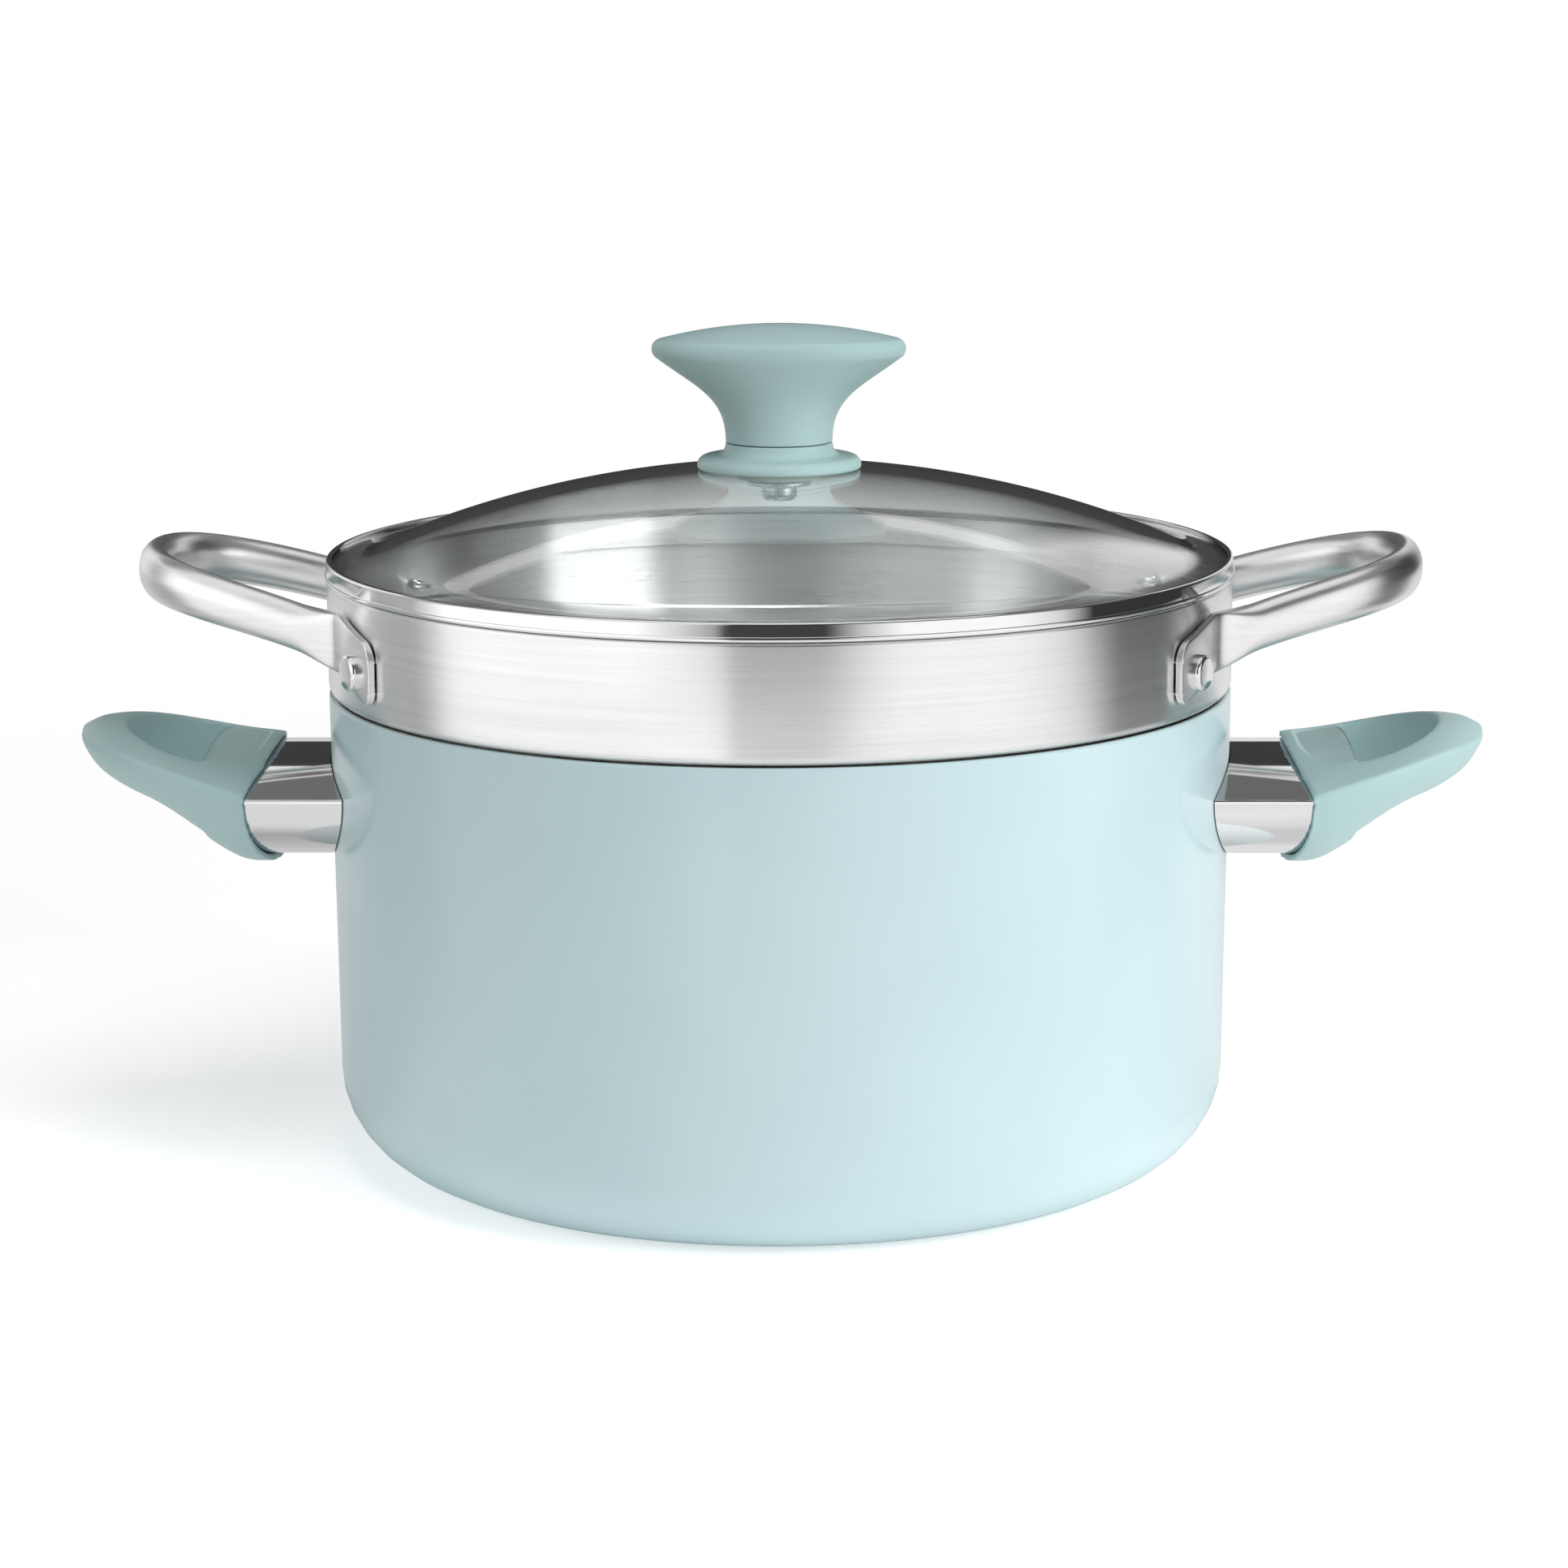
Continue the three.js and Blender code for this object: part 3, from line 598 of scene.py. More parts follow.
def scaled_place(shader: Shader, factors: Sequence[bpy.types.NodeSocket | float]) -> bpy.types.NodeSocket:
    """Stretches the Object coordinates.

    Args:
        shader: The nodes to add to.
        factors: What each axis is multiplied by.

    Returns:
        The stretched coordinates.
    """
    place = shader.add("ShaderNodeTexCoord").outputs["Object"]
    parts = shader.add("ShaderNodeSeparateXYZ")
    shader.join(place, parts.inputs[0])
    whole = shader.add("ShaderNodeCombineXYZ")
    for part, factor, target in zip(parts.outputs, factors, whole.inputs):
        shader.join(shader.maths("MULTIPLY", part, factor), target)
    return whole.outputs[0]


def build_grain(tree: bpy.types.NodeTree) -> None:
    """Builds a fine even grain over a slow change of tone.

    Args:
        tree: The new group. Its Tint is the slow change and its Height the grain.
    """
    shader, ends = group_ends(tree, {"Density": 900.0}, ("Tint", "Height"))
    tint_density = 18.0
    for density, detail, end in ((tint_density, 3, "Tint"), (ends["Density"], 2, "Height")):
        place = scaled_place(shader, (density, density, density))
        shader.join(shader.noise(place, 1, detail), ends[end])


def build_lines(tree: bpy.types.NodeTree) -> None:
    """Builds level brushing lines, fine ones and broader streaks.

    Args:
        tree: The new group. Along and Across are how often a line changes along and across it. Rings adds
            circular lines on level faces.
    """
    inputs = {"Along": 9.0, "Across": 2200.0, "Rings": 1.0}
    spread = {"Lines": 1.0, "Streaks": 0.45}
    shader, ends = group_ends(tree, inputs, tuple(spread))
    place = shader.add("ShaderNodeTexCoord").outputs["Object"]
    parts = shader.add("ShaderNodeSeparateXYZ")
    shader.join(place, parts.inputs[0])
    x, y, z = parts.outputs
    squares = (shader.maths("MULTIPLY", part, part) for part in (x, y))
    radius = shader.maths("SQRT", shader.maths("ADD", *squares))
    level = shader.maths("ADD", z, shader.maths("MULTIPLY", radius, ends["Rings"]))
    for name, share in spread.items():
        whole = shader.add("ShaderNodeCombineXYZ")
        for part, target in zip((x, y), whole.inputs):
            shader.join(shader.maths("MULTIPLY", part, ends["Along"]), target)
        across = shader.maths("MULTIPLY", ends["Across"], share)
        shader.join(shader.maths("MULTIPLY", level, across), whole.inputs[2])
        shader.join(shader.noise(whole.outputs[0], 1, 3), ends[name])


def build_smudges(tree: bpy.types.NodeTree) -> None:
    """Builds faint cloudy marks from wiping and handling.

    Args:
        tree: The new group.
    """
    shader, ends = group_ends(tree, {"Density": 45.0}, ("Marks",))
    density = ends["Density"]
    cloudy = scaled_place(shader, (density, density, density))
    shader.join(shader.noise(cloudy, 1, 5), ends["Marks"])


# Finishes


def new_material(name: str) -> tuple[bpy.types.Material, Shader, bpy.types.Node]:
    """Makes a material with a Principled shader.

    Args:
        name: The material's name.

    Returns:
        The material, its nodes and its Principled node.
    """
    material = bpy.data.materials.new(name)
    material.use_nodes = True
    shader = Shader(material.node_tree)
    return material, shader, material.node_tree.nodes["Principled BSDF"]


def set_values(node: bpy.types.Node, **values: object) -> None:
    """Sets inputs of a node by name, with an underscore for each space."""
    for name, value in values.items():
        node.inputs[name.replace("_", " ")].default_value = value


def add_bump(shader: Shader, height: bpy.types.NodeSocket, surface: bpy.types.Node, depth: float) -> None:
    """Adds relief to a surface.

    Args:
        shader: The material's nodes.
        height: The relief's grey value.
        surface: The Principled node.
        depth: Height of the relief in metres.
    """
    bump = shader.add("ShaderNodeBump")
    bump.inputs["Strength"].default_value = 1
    bump.inputs["Distance"].default_value = depth
    shader.join(height, bump.inputs["Height"])
    shader.join(bump.outputs[0], surface.inputs["Normal"])


@dataclass(frozen=True)
class CoatedFinish:
    """Paint, ceramic, plastic or silicone: an even colour with a slow change of tone and a fine grain."""

    name: str
    low: Colour
    high: Colour
    roughness: tuple[float, float]
    density: float
    depth: float
    coat: float = 0.0
    coat_roughness: float = 0.1

    def material(self) -> bpy.types.Material:
        """Builds the finish.

        Returns:
            The new material.
        """
        material, shader, surface = new_material(self.name)
        grain = Effect.GRAIN.place(shader, Density=self.density)
        tint = shader.between(grain.outputs["Tint"], 0, 1)
        shader.join(shader.blend(tint, self.low, self.high), surface.inputs["Base Color"])
        shader.join(shader.between(grain.outputs["Tint"], *self.roughness), surface.inputs["Roughness"])
        add_bump(shader, grain.outputs["Height"], surface, self.depth)
        set_values(surface, Coat_Weight=self.coat, Coat_Roughness=self.coat_roughness)
        return material


@dataclass(frozen=True)
class SteelFinish:
    """Stainless steel with brushing lines and faint smudges."""

    name: str
    low: Colour
    high: Colour
    roughness: tuple[float, float]
    along: float
    across: float
    depth: float
    rings: float = 0.0
    stretch: float = 0.0

    def material(self) -> bpy.types.Material:
        """Builds the finish. Where the highlights stretch, they do so across level brushing.

        Returns:
            The new material.
        """
        material, shader, surface = new_material(self.name)
        lines = Effect.LINES.place(shader, Along=self.along, Across=self.across, Rings=self.rings)
        marks = Effect.SMUDGES.place(shader)
        tone = shader.average(lines.outputs["Lines"], lines.outputs["Streaks"])
        steel = shader.blend(shader.between(tone, 0, 1), self.low, self.high)
        shader.join(steel, surface.inputs["Base Color"])
        worn = shader.average(marks.outputs["Marks"], tone)
        shader.join(shader.between(worn, *self.roughness), surface.inputs["Roughness"])
        add_bump(shader, lines.outputs["Lines"], surface, self.depth)
        quarter_turn = 0.25
        set_values(surface, Metallic=1, Anisotropic=self.stretch, Anisotropic_Rotation=quarter_turn)
        if self.stretch:
            tangent = shader.add("ShaderNodeTangent", direction_type="RADIAL", axis="Z")
            shader.join(tangent.outputs[0], surface.inputs["Tangent"])
        return material


@dataclass(frozen=True)
class GlassFinish:
    """Clear glass that lets the lamps through, with faint smudges in its gloss.

    Attributes:
        name: The material's name.
        tint: Its colour seen straight on.
        edge: Its colour seen edge on.
        edge_power: How late the edge's colour sets in.
        roughness: Between clean glass and smudges.
        smudge_density: How close the smudges are.
        refraction: The index of refraction.
    """

    name: str
    tint: Colour
    edge: Colour
    edge_power: float
    roughness: tuple[float, float]
    smudge_density: float = 30.0
    refraction: float = 1.5

    def material(self) -> bpy.types.Material:
        """Builds the finish.

        Returns:
            The new material.
        """
        material, shader, surface = new_material(self.name)
        marks = Effect.SMUDGES.place(shader, Density=self.smudge_density)
        shader.join(shader.between(marks.outputs["Marks"], *self.roughness), surface.inputs["Roughness"])
        set_values(surface, Transmission_Weight=1, IOR=self.refraction)
        grazing = shader.add("ShaderNodeLayerWeight")
        set_values(grazing, Blend=0.5)
        edge_on = shader.maths("POWER", grazing.outputs["Facing"], self.edge_power)
        shader.join(shader.blend(edge_on, self.tint, self.edge), surface.inputs["Base Color"])
        clear = shader.add("ShaderNodeBsdfTransparent")
        set_values(clear, Color=(*self.tint, OPAQUE))
        from_lamp = shader.add("ShaderNodeLightPath").outputs["Is Shadow Ray"]
        both = shader.mix_shaders(from_lamp, surface, clear)
        shader.join(both, material.node_tree.nodes["Material Output"].inputs["Surface"])
        return material


AQUA_PAINT = CoatedFinish(
    "aqua_pot_paint",
    low=from_screen(176, 199, 203),
    high=from_screen(181, 204, 207),
    roughness=(0.36, 0.42),
    density=700,
    depth=0.000012,
    coat=0.7,
    coat_roughness=0.13,
)
LINING = CoatedFinish(
    "pale_ceramic_lining",
    low=from_screen(214, 211, 203),
    high=from_screen(222, 219, 212),
    roughness=(0.28, 0.36),
    density=1200,
    depth=0.00001,
    coat=0.3,
)
AQUA_PLASTIC = CoatedFinish(
    "aqua_moulded_plastic",
    low=from_screen(158, 186, 186),
    high=from_screen(164, 191, 190),
    roughness=(0.38, 0.46),
    density=2400,
    depth=0.00001,
)
SILICONE = CoatedFinish(
    "clear_grey_silicone",
    low=from_screen(205, 208, 206),
    high=from_screen(215, 218, 216),
    roughness=(0.5, 0.6),
    density=1500,
    depth=0.00001,
)
BRUSHED_STEEL = SteelFinish(
    "brushed_insert_steel",
    low=(0.82, 0.822, 0.822),
    high=(0.96, 0.962, 0.962),
    roughness=(0.25, 0.33),
    along=16,
    across=1300,
    depth=0.000002,
    rings=1,
    stretch=0.97,
)
SATIN_STEEL = SteelFinish(
    "satin_loop_steel",
    low=(0.8, 0.79, 0.78),
    high=(0.9, 0.895, 0.89),
    roughness=(0.25, 0.35),
    along=60,
    across=1800,
    depth=0.000004,
)
BRIGHT_STEEL = SteelFinish(
    "polished_steel",
    low=(0.8, 0.8, 0.81),
    high=(0.84, 0.84, 0.85),
    roughness=(0.03, 0.07),
    along=80,
    across=900,
    depth=0.0000006,
)
PLAIN_STEEL = SteelFinish(
    "machined_steel",
    low=(0.56, 0.56, 0.55),
    high=(0.68, 0.68, 0.67),
    roughness=(0.22, 0.32),
    along=900,
    across=1400,
    depth=0.000006,
)
CLEAR_GLASS = GlassFinish(
    "clear_lid_glass",
    tint=(0.97, 0.99, 0.985),
    edge=(0.3, 0.38, 0.37),
    edge_power=16,
    roughness=(0.0, 0.012),
)

FINISHES = {
    Slot.PAINT: AQUA_PAINT,
    Slot.PLASTIC: AQUA_PLASTIC,
    Slot.BRUSHED: BRUSHED_STEEL,
    Slot.SATIN: SATIN_STEEL,
    Slot.BRIGHT: BRIGHT_STEEL,
    Slot.PLAIN: PLAIN_STEEL,
    Slot.GLASS: CLEAR_GLASS,
    Slot.SILICONE: SILICONE,
}
MATERIALS: dict[Slot, bpy.types.Material] = {}


def material_for(slot: Slot) -> bpy.types.Material:
    """Finds the one material of a slot, and builds it at its first use.

    Args:
        slot: The record's material slot.

    Returns:
        The slot's material.
    """
    if slot not in MATERIALS:
        MATERIALS[slot] = FINISHES[slot].material()
    return MATERIALS[slot]


def dress(piece: bpy.types.Object, node: str, body: Body, slot: Slot) -> None:
    """Gives a piece its finish and its body, and lets it stand for its solid.

    Args:
        piece: The finished piece.
        node: The solid's node.
        body: The body that it moves with.
        slot: The record's material slot.
    """
    piece.data.materials.clear()
    piece.data.materials.append(material_for(slot))
    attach(piece, body.value)
    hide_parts(node)
    LOG.info("%s: %d faces, %s", piece.name, len(piece.data.polygons), slot.value)


def repaint(node: str, slot: Slot) -> None:
    """Gives its finish to a solid that stays as it is.

    Args:
        node: The solid's node.
        slot: The record's material slot.
    """
    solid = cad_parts[node]
    solid.data.materials.clear()
    solid.data.materials.append(material_for(slot))
    LOG.info("%s: packed solid, %s", node, slot.value)


# Pot


@dataclass
class Pot:
    """The painted pot shell."""

    rim: float = field(default_factory=lambda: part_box("pot_shell")[1].x)
    height: float = field(default_factory=lambda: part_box("pot_shell")[1].z)
    wall: float = 2 * MM
    draft: float = 1.2 * MM
    corner: float = 25 * MM
    floor: float = 4 * MM
    recess: float = 75 * MM
    recess_depth: float = 0.8 * MM
    rim_round: float = 0.8 * MM
    level_facing: float = 0.5

    def outer_at(self, height: float) -> float:
        """Gives the outer radius at a height."""
        return self.rim - self.draft * (1 - height / self.height)

    def build(self) -> None:
        """Turns the shell and lines its inside."""
        inner = self.rim - self.wall
        foot = self.outer_at(0)
        work = turned_mesh(
            [
                Corner(0, self.recess_depth),
                Corner(self.recess - 2 * self.recess_depth, self.recess_depth, self.recess_depth / 2),
                Corner(self.recess, 0, self.recess_depth / 2),
                Corner(foot, 0, self.corner),
                Corner(self.rim, self.height, self.rim_round),
                Corner(inner, self.height, self.rim_round),
                Corner(self.outer_at(self.floor) - self.wall, self.floor, self.corner - self.wall),
                Corner(0, self.floor),
            ]
        )
        shell = new_object("finished_pot_shell", work)
        dress(shell, "pot_shell", Body.POT, Slot.PAINT)
        shell.data.materials.append(LINING.material())
        for face in shell.data.polygons:
            x, y, z = face.center
            outwards = face.normal.x * x + face.normal.y * y
            on_floor = face.normal.z > self.level_facing and z < self.height / 2
            face.material_index = int(outwards < -MERGE_DISTANCE or on_floor)


# Side handles


@dataclass
class HandleSection:
    """One section across a side handle: a parabola above its ridge and half an ellipse below.

    Attributes:
        half_width: From the middle to the ridge at each side.
        top: Height of the crown.
        ridge: Height of the ridge.
        bottom: Height of the lowest point.
    """

    half_width: float
    top: float
    ridge: float
    bottom: float

    def grown(self, by: float) -> "HandleSection":
        """Gives the section larger all round."""
        return HandleSection(self.half_width + by, self.top + by, self.ridge, self.bottom - by)

    def points(self, count: int) -> list[tuple[float, float]]:
        """Gives points round the section, with one on each ridge.

        Args:
            count: Number of points, an even one.

        Returns:
            Pairs of a place across and a height.
        """
        found = []
        for step in range(count):
            turn = math.tau * step / count
            side, rise = math.cos(turn), math.sin(turn)
            if rise > 0:
                height = mix(self.ridge, self.top, rise**2)
            else:
                height = mix(self.ridge, self.bottom, -rise)
            found.append((self.half_width * side, height))
        return found


@dataclass
class SideHandle:
    """A polished ferrule and a moulded grip with a finger hole, held by a screw."""

    pot: Pot
    side: Side
    drop: float = 30.6 * MM
    ferrule_wall: float = 1.2 * MM
    ferrule_length: float = 14.5 * MM
    section: HandleSection = field(
        default_factory=lambda: HandleSection(40 * MM, 13.2 * MM, 6 * MM, -15.2 * MM)
    )
    ridge_round: float = 0.7 * MM
    ridge_steps: int = 4
    length: float = 54.2 * MM
    lip: float = 1.8 * MM
    setback: float = 5.3 * MM
    setback_share: float = 0.12
    socket_land: float = 1.2 * MM
    tops: Stations = ((0, 0), (0.35, 1.2), (0.7, 5.4), (0.9, 5.6), (1, 3.4))
    ridges: Stations = ((0, 0), (0.45, 6.8), (0.8, 10.8), (1, 11))
    bottoms: Stations = ((0, 0), (0.15, 0.3), (0.28, 4), (0.55, 14.7), (0.8, 21.5), (0.9, 25.5), (1, 33))
    rail: float = 13 * MM
    tip_rail: float = 12.5 * MM
    web: float = 11.1 * MM
    hole_points: int = 96
    hole_round_share: float = 0.16
    screw_head: tuple[float, float] = (10 * MM, 4 * MM)
    screw_head_round: float = 1.8182 * MM
    screw_head_edge: float = 0.3 * MM
    screw_shank: float = 6 * MM
    screw_start: float = 4 * MM
    screw_tip: float = 0.6 * MM
    screw_slot: float = 5 * MM
    pad_length: float = 14.5 * MM
    pad_half_width: float = 25.5 * MM
    pad_depth: float = 0.9 * MM
    pad_edge: float = 1.2 * MM
    pad_power: float = 3
    pad_facing: float = 0.4
    melt_size: float = 0.5 * MM
    melt_passes: int = 14
    melt_strength: float = 0.5
    sections: int = 44
    section_points: int = 72
    last_section: float = 0.9995

    def __post_init__(self) -> None:
        """Works out the handle's places along X."""
        self.level = self.pot.height - self.drop
        self.root = self.pot.outer_at(self.level)
        self.start = self.root + self.ferrule_length
        self.ferrule_end = self.start + self.setback + self.socket_land
        self.hole_start = self.ferrule_end + SEAT_GAP + self.web
        self.tip = self.start + self.length

    def build(self) -> None:
        """Makes the pieces of this side."""
        self.ferrule()
        self.grip()
        self.screw()
        repaint(f"{self.side.word}_handle_stud", Slot.PLAIN)

    def on_wall(self, across: float, height: float) -> float:
        """Gives how far along X the pot's wall is, with the seat gap."""
        radius = self.pot.outer_at(self.level + height) + SEAT_GAP
        return math.sqrt(radius**2 - across**2)

    def ferrule(self) -> None:
        """Lofts the sleeve from the pot's wall into the grip, and eases its ridges."""
        skin = Loft()
        inside = self.section.grown(-self.ferrule_wall)
        outer, inner = self.section.points(self.section_points), inside.points(self.section_points)
        stops = ((outer, 0.0), (outer, 0.5), (outer, 1.0), (inner, 1.0), (inner, 0.0))
        for ring, share in stops:
            skin.add(
                [
                    Vector((mix(self.on_wall(y, z), self.ferrule_end, share), y, self.level + z))
                    for y, z in ring
                ]
            )
        work = skin.join_ends()
        ridge = self.level + self.section.ridge
        edges = [edge for edge in work.edges if self.is_ridge(edge, ridge)]
        round_off(work, edges, self.ridge_round, "EDGES", self.ridge_steps)
        work.transform(self.side.turn)
        piece = new_object(f"finished_{self.side.word}_ferrule", work)
        dress(piece, f"{self.side.word}_ferrule", Body.POT, Slot.BRIGHT)

    def is_ridge(self, edge: bmesh.types.BMEdge, height: float) -> bool:
        """Tells whether an edge runs along an outer ridge.

        Args:
            edge: An edge of the ferrule.
            height: The ridge's height.

        Returns:
            True if both its ends are on a ridge.
        """
        width = self.section.half_width
        return all(
            abs(vert.co.z - height) < MERGE_DISTANCE and abs(abs(vert.co.y) - width) < MERGE_DISTANCE
            for vert in edge.verts
        )

    def along(self, stations: Stations, share: float) -> float:
        """Follows a smooth line through stations along the grip.

        Args:
            stations: Pairs of a share of the grip's length and a rise in millimetres.
            share: The share of the grip's length to look at.

        Returns:
            The rise there, in metres.
        """
        index = next(i for i in range(1, len(stations)) if share <= stations[i][0])
        before, first = stations[max(0, index - 2)]
        start, low = stations[index - 1]
        end, high = stations[index]
        after, last = stations[min(len(stations) - 1, index + 1)]
        span, climb = end - start, high - low
        leave = (high - first) / (end - before) * span
        arrive = (last - low) / (after - start) * span
        part = (share - start) / span
        bend = 3 * climb - 2 * leave - arrive
        twist = leave + arrive - 2 * climb
        return (low + part * (leave + part * (bend + part * twist))) * MM

    def grip_section(self, share: float) -> HandleSection:
        """Works out one section of the grip.

        Args:
            share: The share of the grip's length to look at.

        Returns:
            The section there.
        """
        base = self.section.grown(SEAT_GAP + self.lip)
        return HandleSection(
            base.half_width * math.sqrt(max(0.0, 1 - share**2)),
            base.top + self.along(self.tops, share),
            base.ridge + self.along(self.ridges, share),
            base.bottom + self.along(self.bottoms, share),
        )

    def grip(self) -> None:
        """Lofts the grip, cuts its hole, socket and bore, melts its edges and presses a pad in its top."""
        skin = Loft()
        for step in range(self.sections + 1):
            share = math.sin(math.pi / 2 * step / self.sections) * self.last_section
            section = self.grip_section(share)
            fade = max(0.0, 1 - share / self.setback_share) ** 2
            ring = []
            for y, z in section.points(self.section_points):
                back = self.setback * fade * (y / section.half_width) ** 2
                ring.append(Vector((self.start + share * self.length + back, y, self.level + z)))
            skin.add(ring)
        piece = new_object(f"finished_{self.side.word}_grip", skin.close())
        for tool in (self.hole_tool(), self.socket_tool(), self.screw_tool()):
            carve(piece, [tool])
        melt = piece.modifiers.new("melt", "REMESH")
        melt.mode = "VOXEL"
        melt.voxel_size = self.melt_size
        ease_edges = piece.modifiers.new("ease", "SMOOTH")
        ease_edges.factor = self.melt_strength
        ease_edges.iterations = self.melt_passes
        settle(piece)
        self.press_pad(piece)
        piece.data.transform(self.side.turn)
        dress(piece, f"{self.side.word}_grip", Body.POT, Slot.PLASTIC)
        soften(piece, math.pi)

    def hole_tool(self) -> bmesh.types.BMesh:
        """Makes the finger hole's upright cutter, straight along the web and half an oval round the tip.

        Returns:
            The closed cutter.
        """
        work = bmesh.new()
        share = (self.hole_start - self.start) / self.length
        half = self.grip_section(share).half_width - self.rail
        reach = self.tip - self.tip_rail - self.hole_start
        bmesh.ops.create_circle(work, cap_ends=True, segments=self.hole_points, radius=1)
        bmesh.ops.bisect_plane(
            work,
            geom=work.verts[:] + work.edges[:] + work.faces[:],
            plane_co=(0, 0, 0),
            plane_no=(1, 0, 0),
            clear_inner=True,
        )
        corners = [vert for vert in work.verts if abs(vert.co.x) < MERGE_DISTANCE]
        round_off(work, corners, self.hole_round_share, "VERTICES")
        bmesh.ops.scale(work, vec=(reach, half, 1), verts=work.verts[:])
        depth = 2 * (self.section.top - self.section.bottom)
        made = bmesh.ops.extrude_face_region(work, geom=work.faces[:])
        lifted = [item for item in made["geom"] if isinstance(item, bmesh.types.BMVert)]
        bmesh.ops.translate(work, vec=(0, 0, 2 * depth), verts=lifted)
        bmesh.ops.recalc_face_normals(work, faces=work.faces[:])
        return moved(work, Matrix.Translation((self.hole_start, 0, self.level - depth)))

    def socket_tool(self) -> bmesh.types.BMesh:
        """Makes the cutter for the end of the ferrule in the grip.

        Returns:
            The closed cutter.
        """
        skin = Loft()
        section = self.section.grown(SEAT_GAP)
        for x in (self.start - self.setback, self.ferrule_end + SEAT_GAP):
            skin.add([Vector((x, y, self.level + z)) for y, z in section.points(self.section_points)])
        return skin.close()

    def screw_tool(self) -> bmesh.types.BMesh:
        """Makes the cutter for the screw's shank and its sunk head.

        Returns:
            The closed cutter.
        """
        head, head_height = self.screw_head
        shank = self.screw_shank / 2 + SEAT_GAP
        wide = head / 2 + SEAT_GAP
        seat = self.hole_start - head_height - SEAT_GAP
        corners = [
            Corner(0, self.ferrule_end - self.lip),
            Corner(shank, self.ferrule_end - self.lip),
            Corner(shank, seat),
            Corner(wide, seat),
            Corner(wide, self.hole_start + self.lip),
            Corner(0, self.hole_start + self.lip),
        ]
        return moved(turned_mesh(corners, SMALL_ROUND_STEPS), self.out_along_x())

    def out_along_x(self) -> Matrix:
        """Gives the move that lays a shape made along Z out along X on the handle's middle line."""
        return Matrix.Translation((0, 0, self.level)) @ Matrix.Rotation(math.pi / 2, 4, "Y")

    def press_pad(self, piece: bpy.types.Object) -> None:
        """Presses a shallow bare pad into the top of the web, half an oval beside the finger hole.

        Args:
            piece: The grip, still on the right-hand side.
        """
        work = bmesh.new()
        work.from_mesh(piece.data)
        work.normal_update()
        for vert in work.verts:
            if vert.normal.z < self.pad_facing or vert.co.x > self.hole_start + self.pad_edge:
                continue
            back = max(0.0, self.hole_start - vert.co.x) / self.pad_length
            aside = abs(vert.co.y) / self.pad_half_width
            out = (back**self.pad_power + aside**self.pad_power) ** (1 / self.pad_power)
            inside = ease(min(1.0, max(0.0, (1 - out) * self.pad_length / self.pad_edge)))
            vert.co.z -= self.pad_depth * inside
        work.to_mesh(piece.data)
        work.free()

    def screw(self) -> None:
        """Turns the screw and cuts its six-sided socket."""
        head, head_height = self.screw_head
        face = self.hole_start
        seat = face - head_height
        shank = self.screw_shank / 2
        inner_end = self.root + self.screw_start
        corners = [
            Corner(0, inner_end),
            Corner(shank, inner_end, self.screw_tip),
            Corner(shank, seat),
            Corner(head / 2, seat, self.screw_head_edge),
            Corner(head / 2, face, self.screw_head_round),
            Corner(0, face),
        ]
        name = f"{self.side.word}_grip_screw"
        piece = new_object(f"finished_{name}", turned_mesh(corners, SMALL_ROUND_STEPS))
        carve(piece, [bar_mesh(self.screw_slot, face - head_height / 2, face + MM, HEX_SIDES)])
        piece.data.transform(self.side.turn @ self.out_along_x())
        soften(piece)
        dress(piece, name, Body.POT, Slot.PLAIN)


# Insert


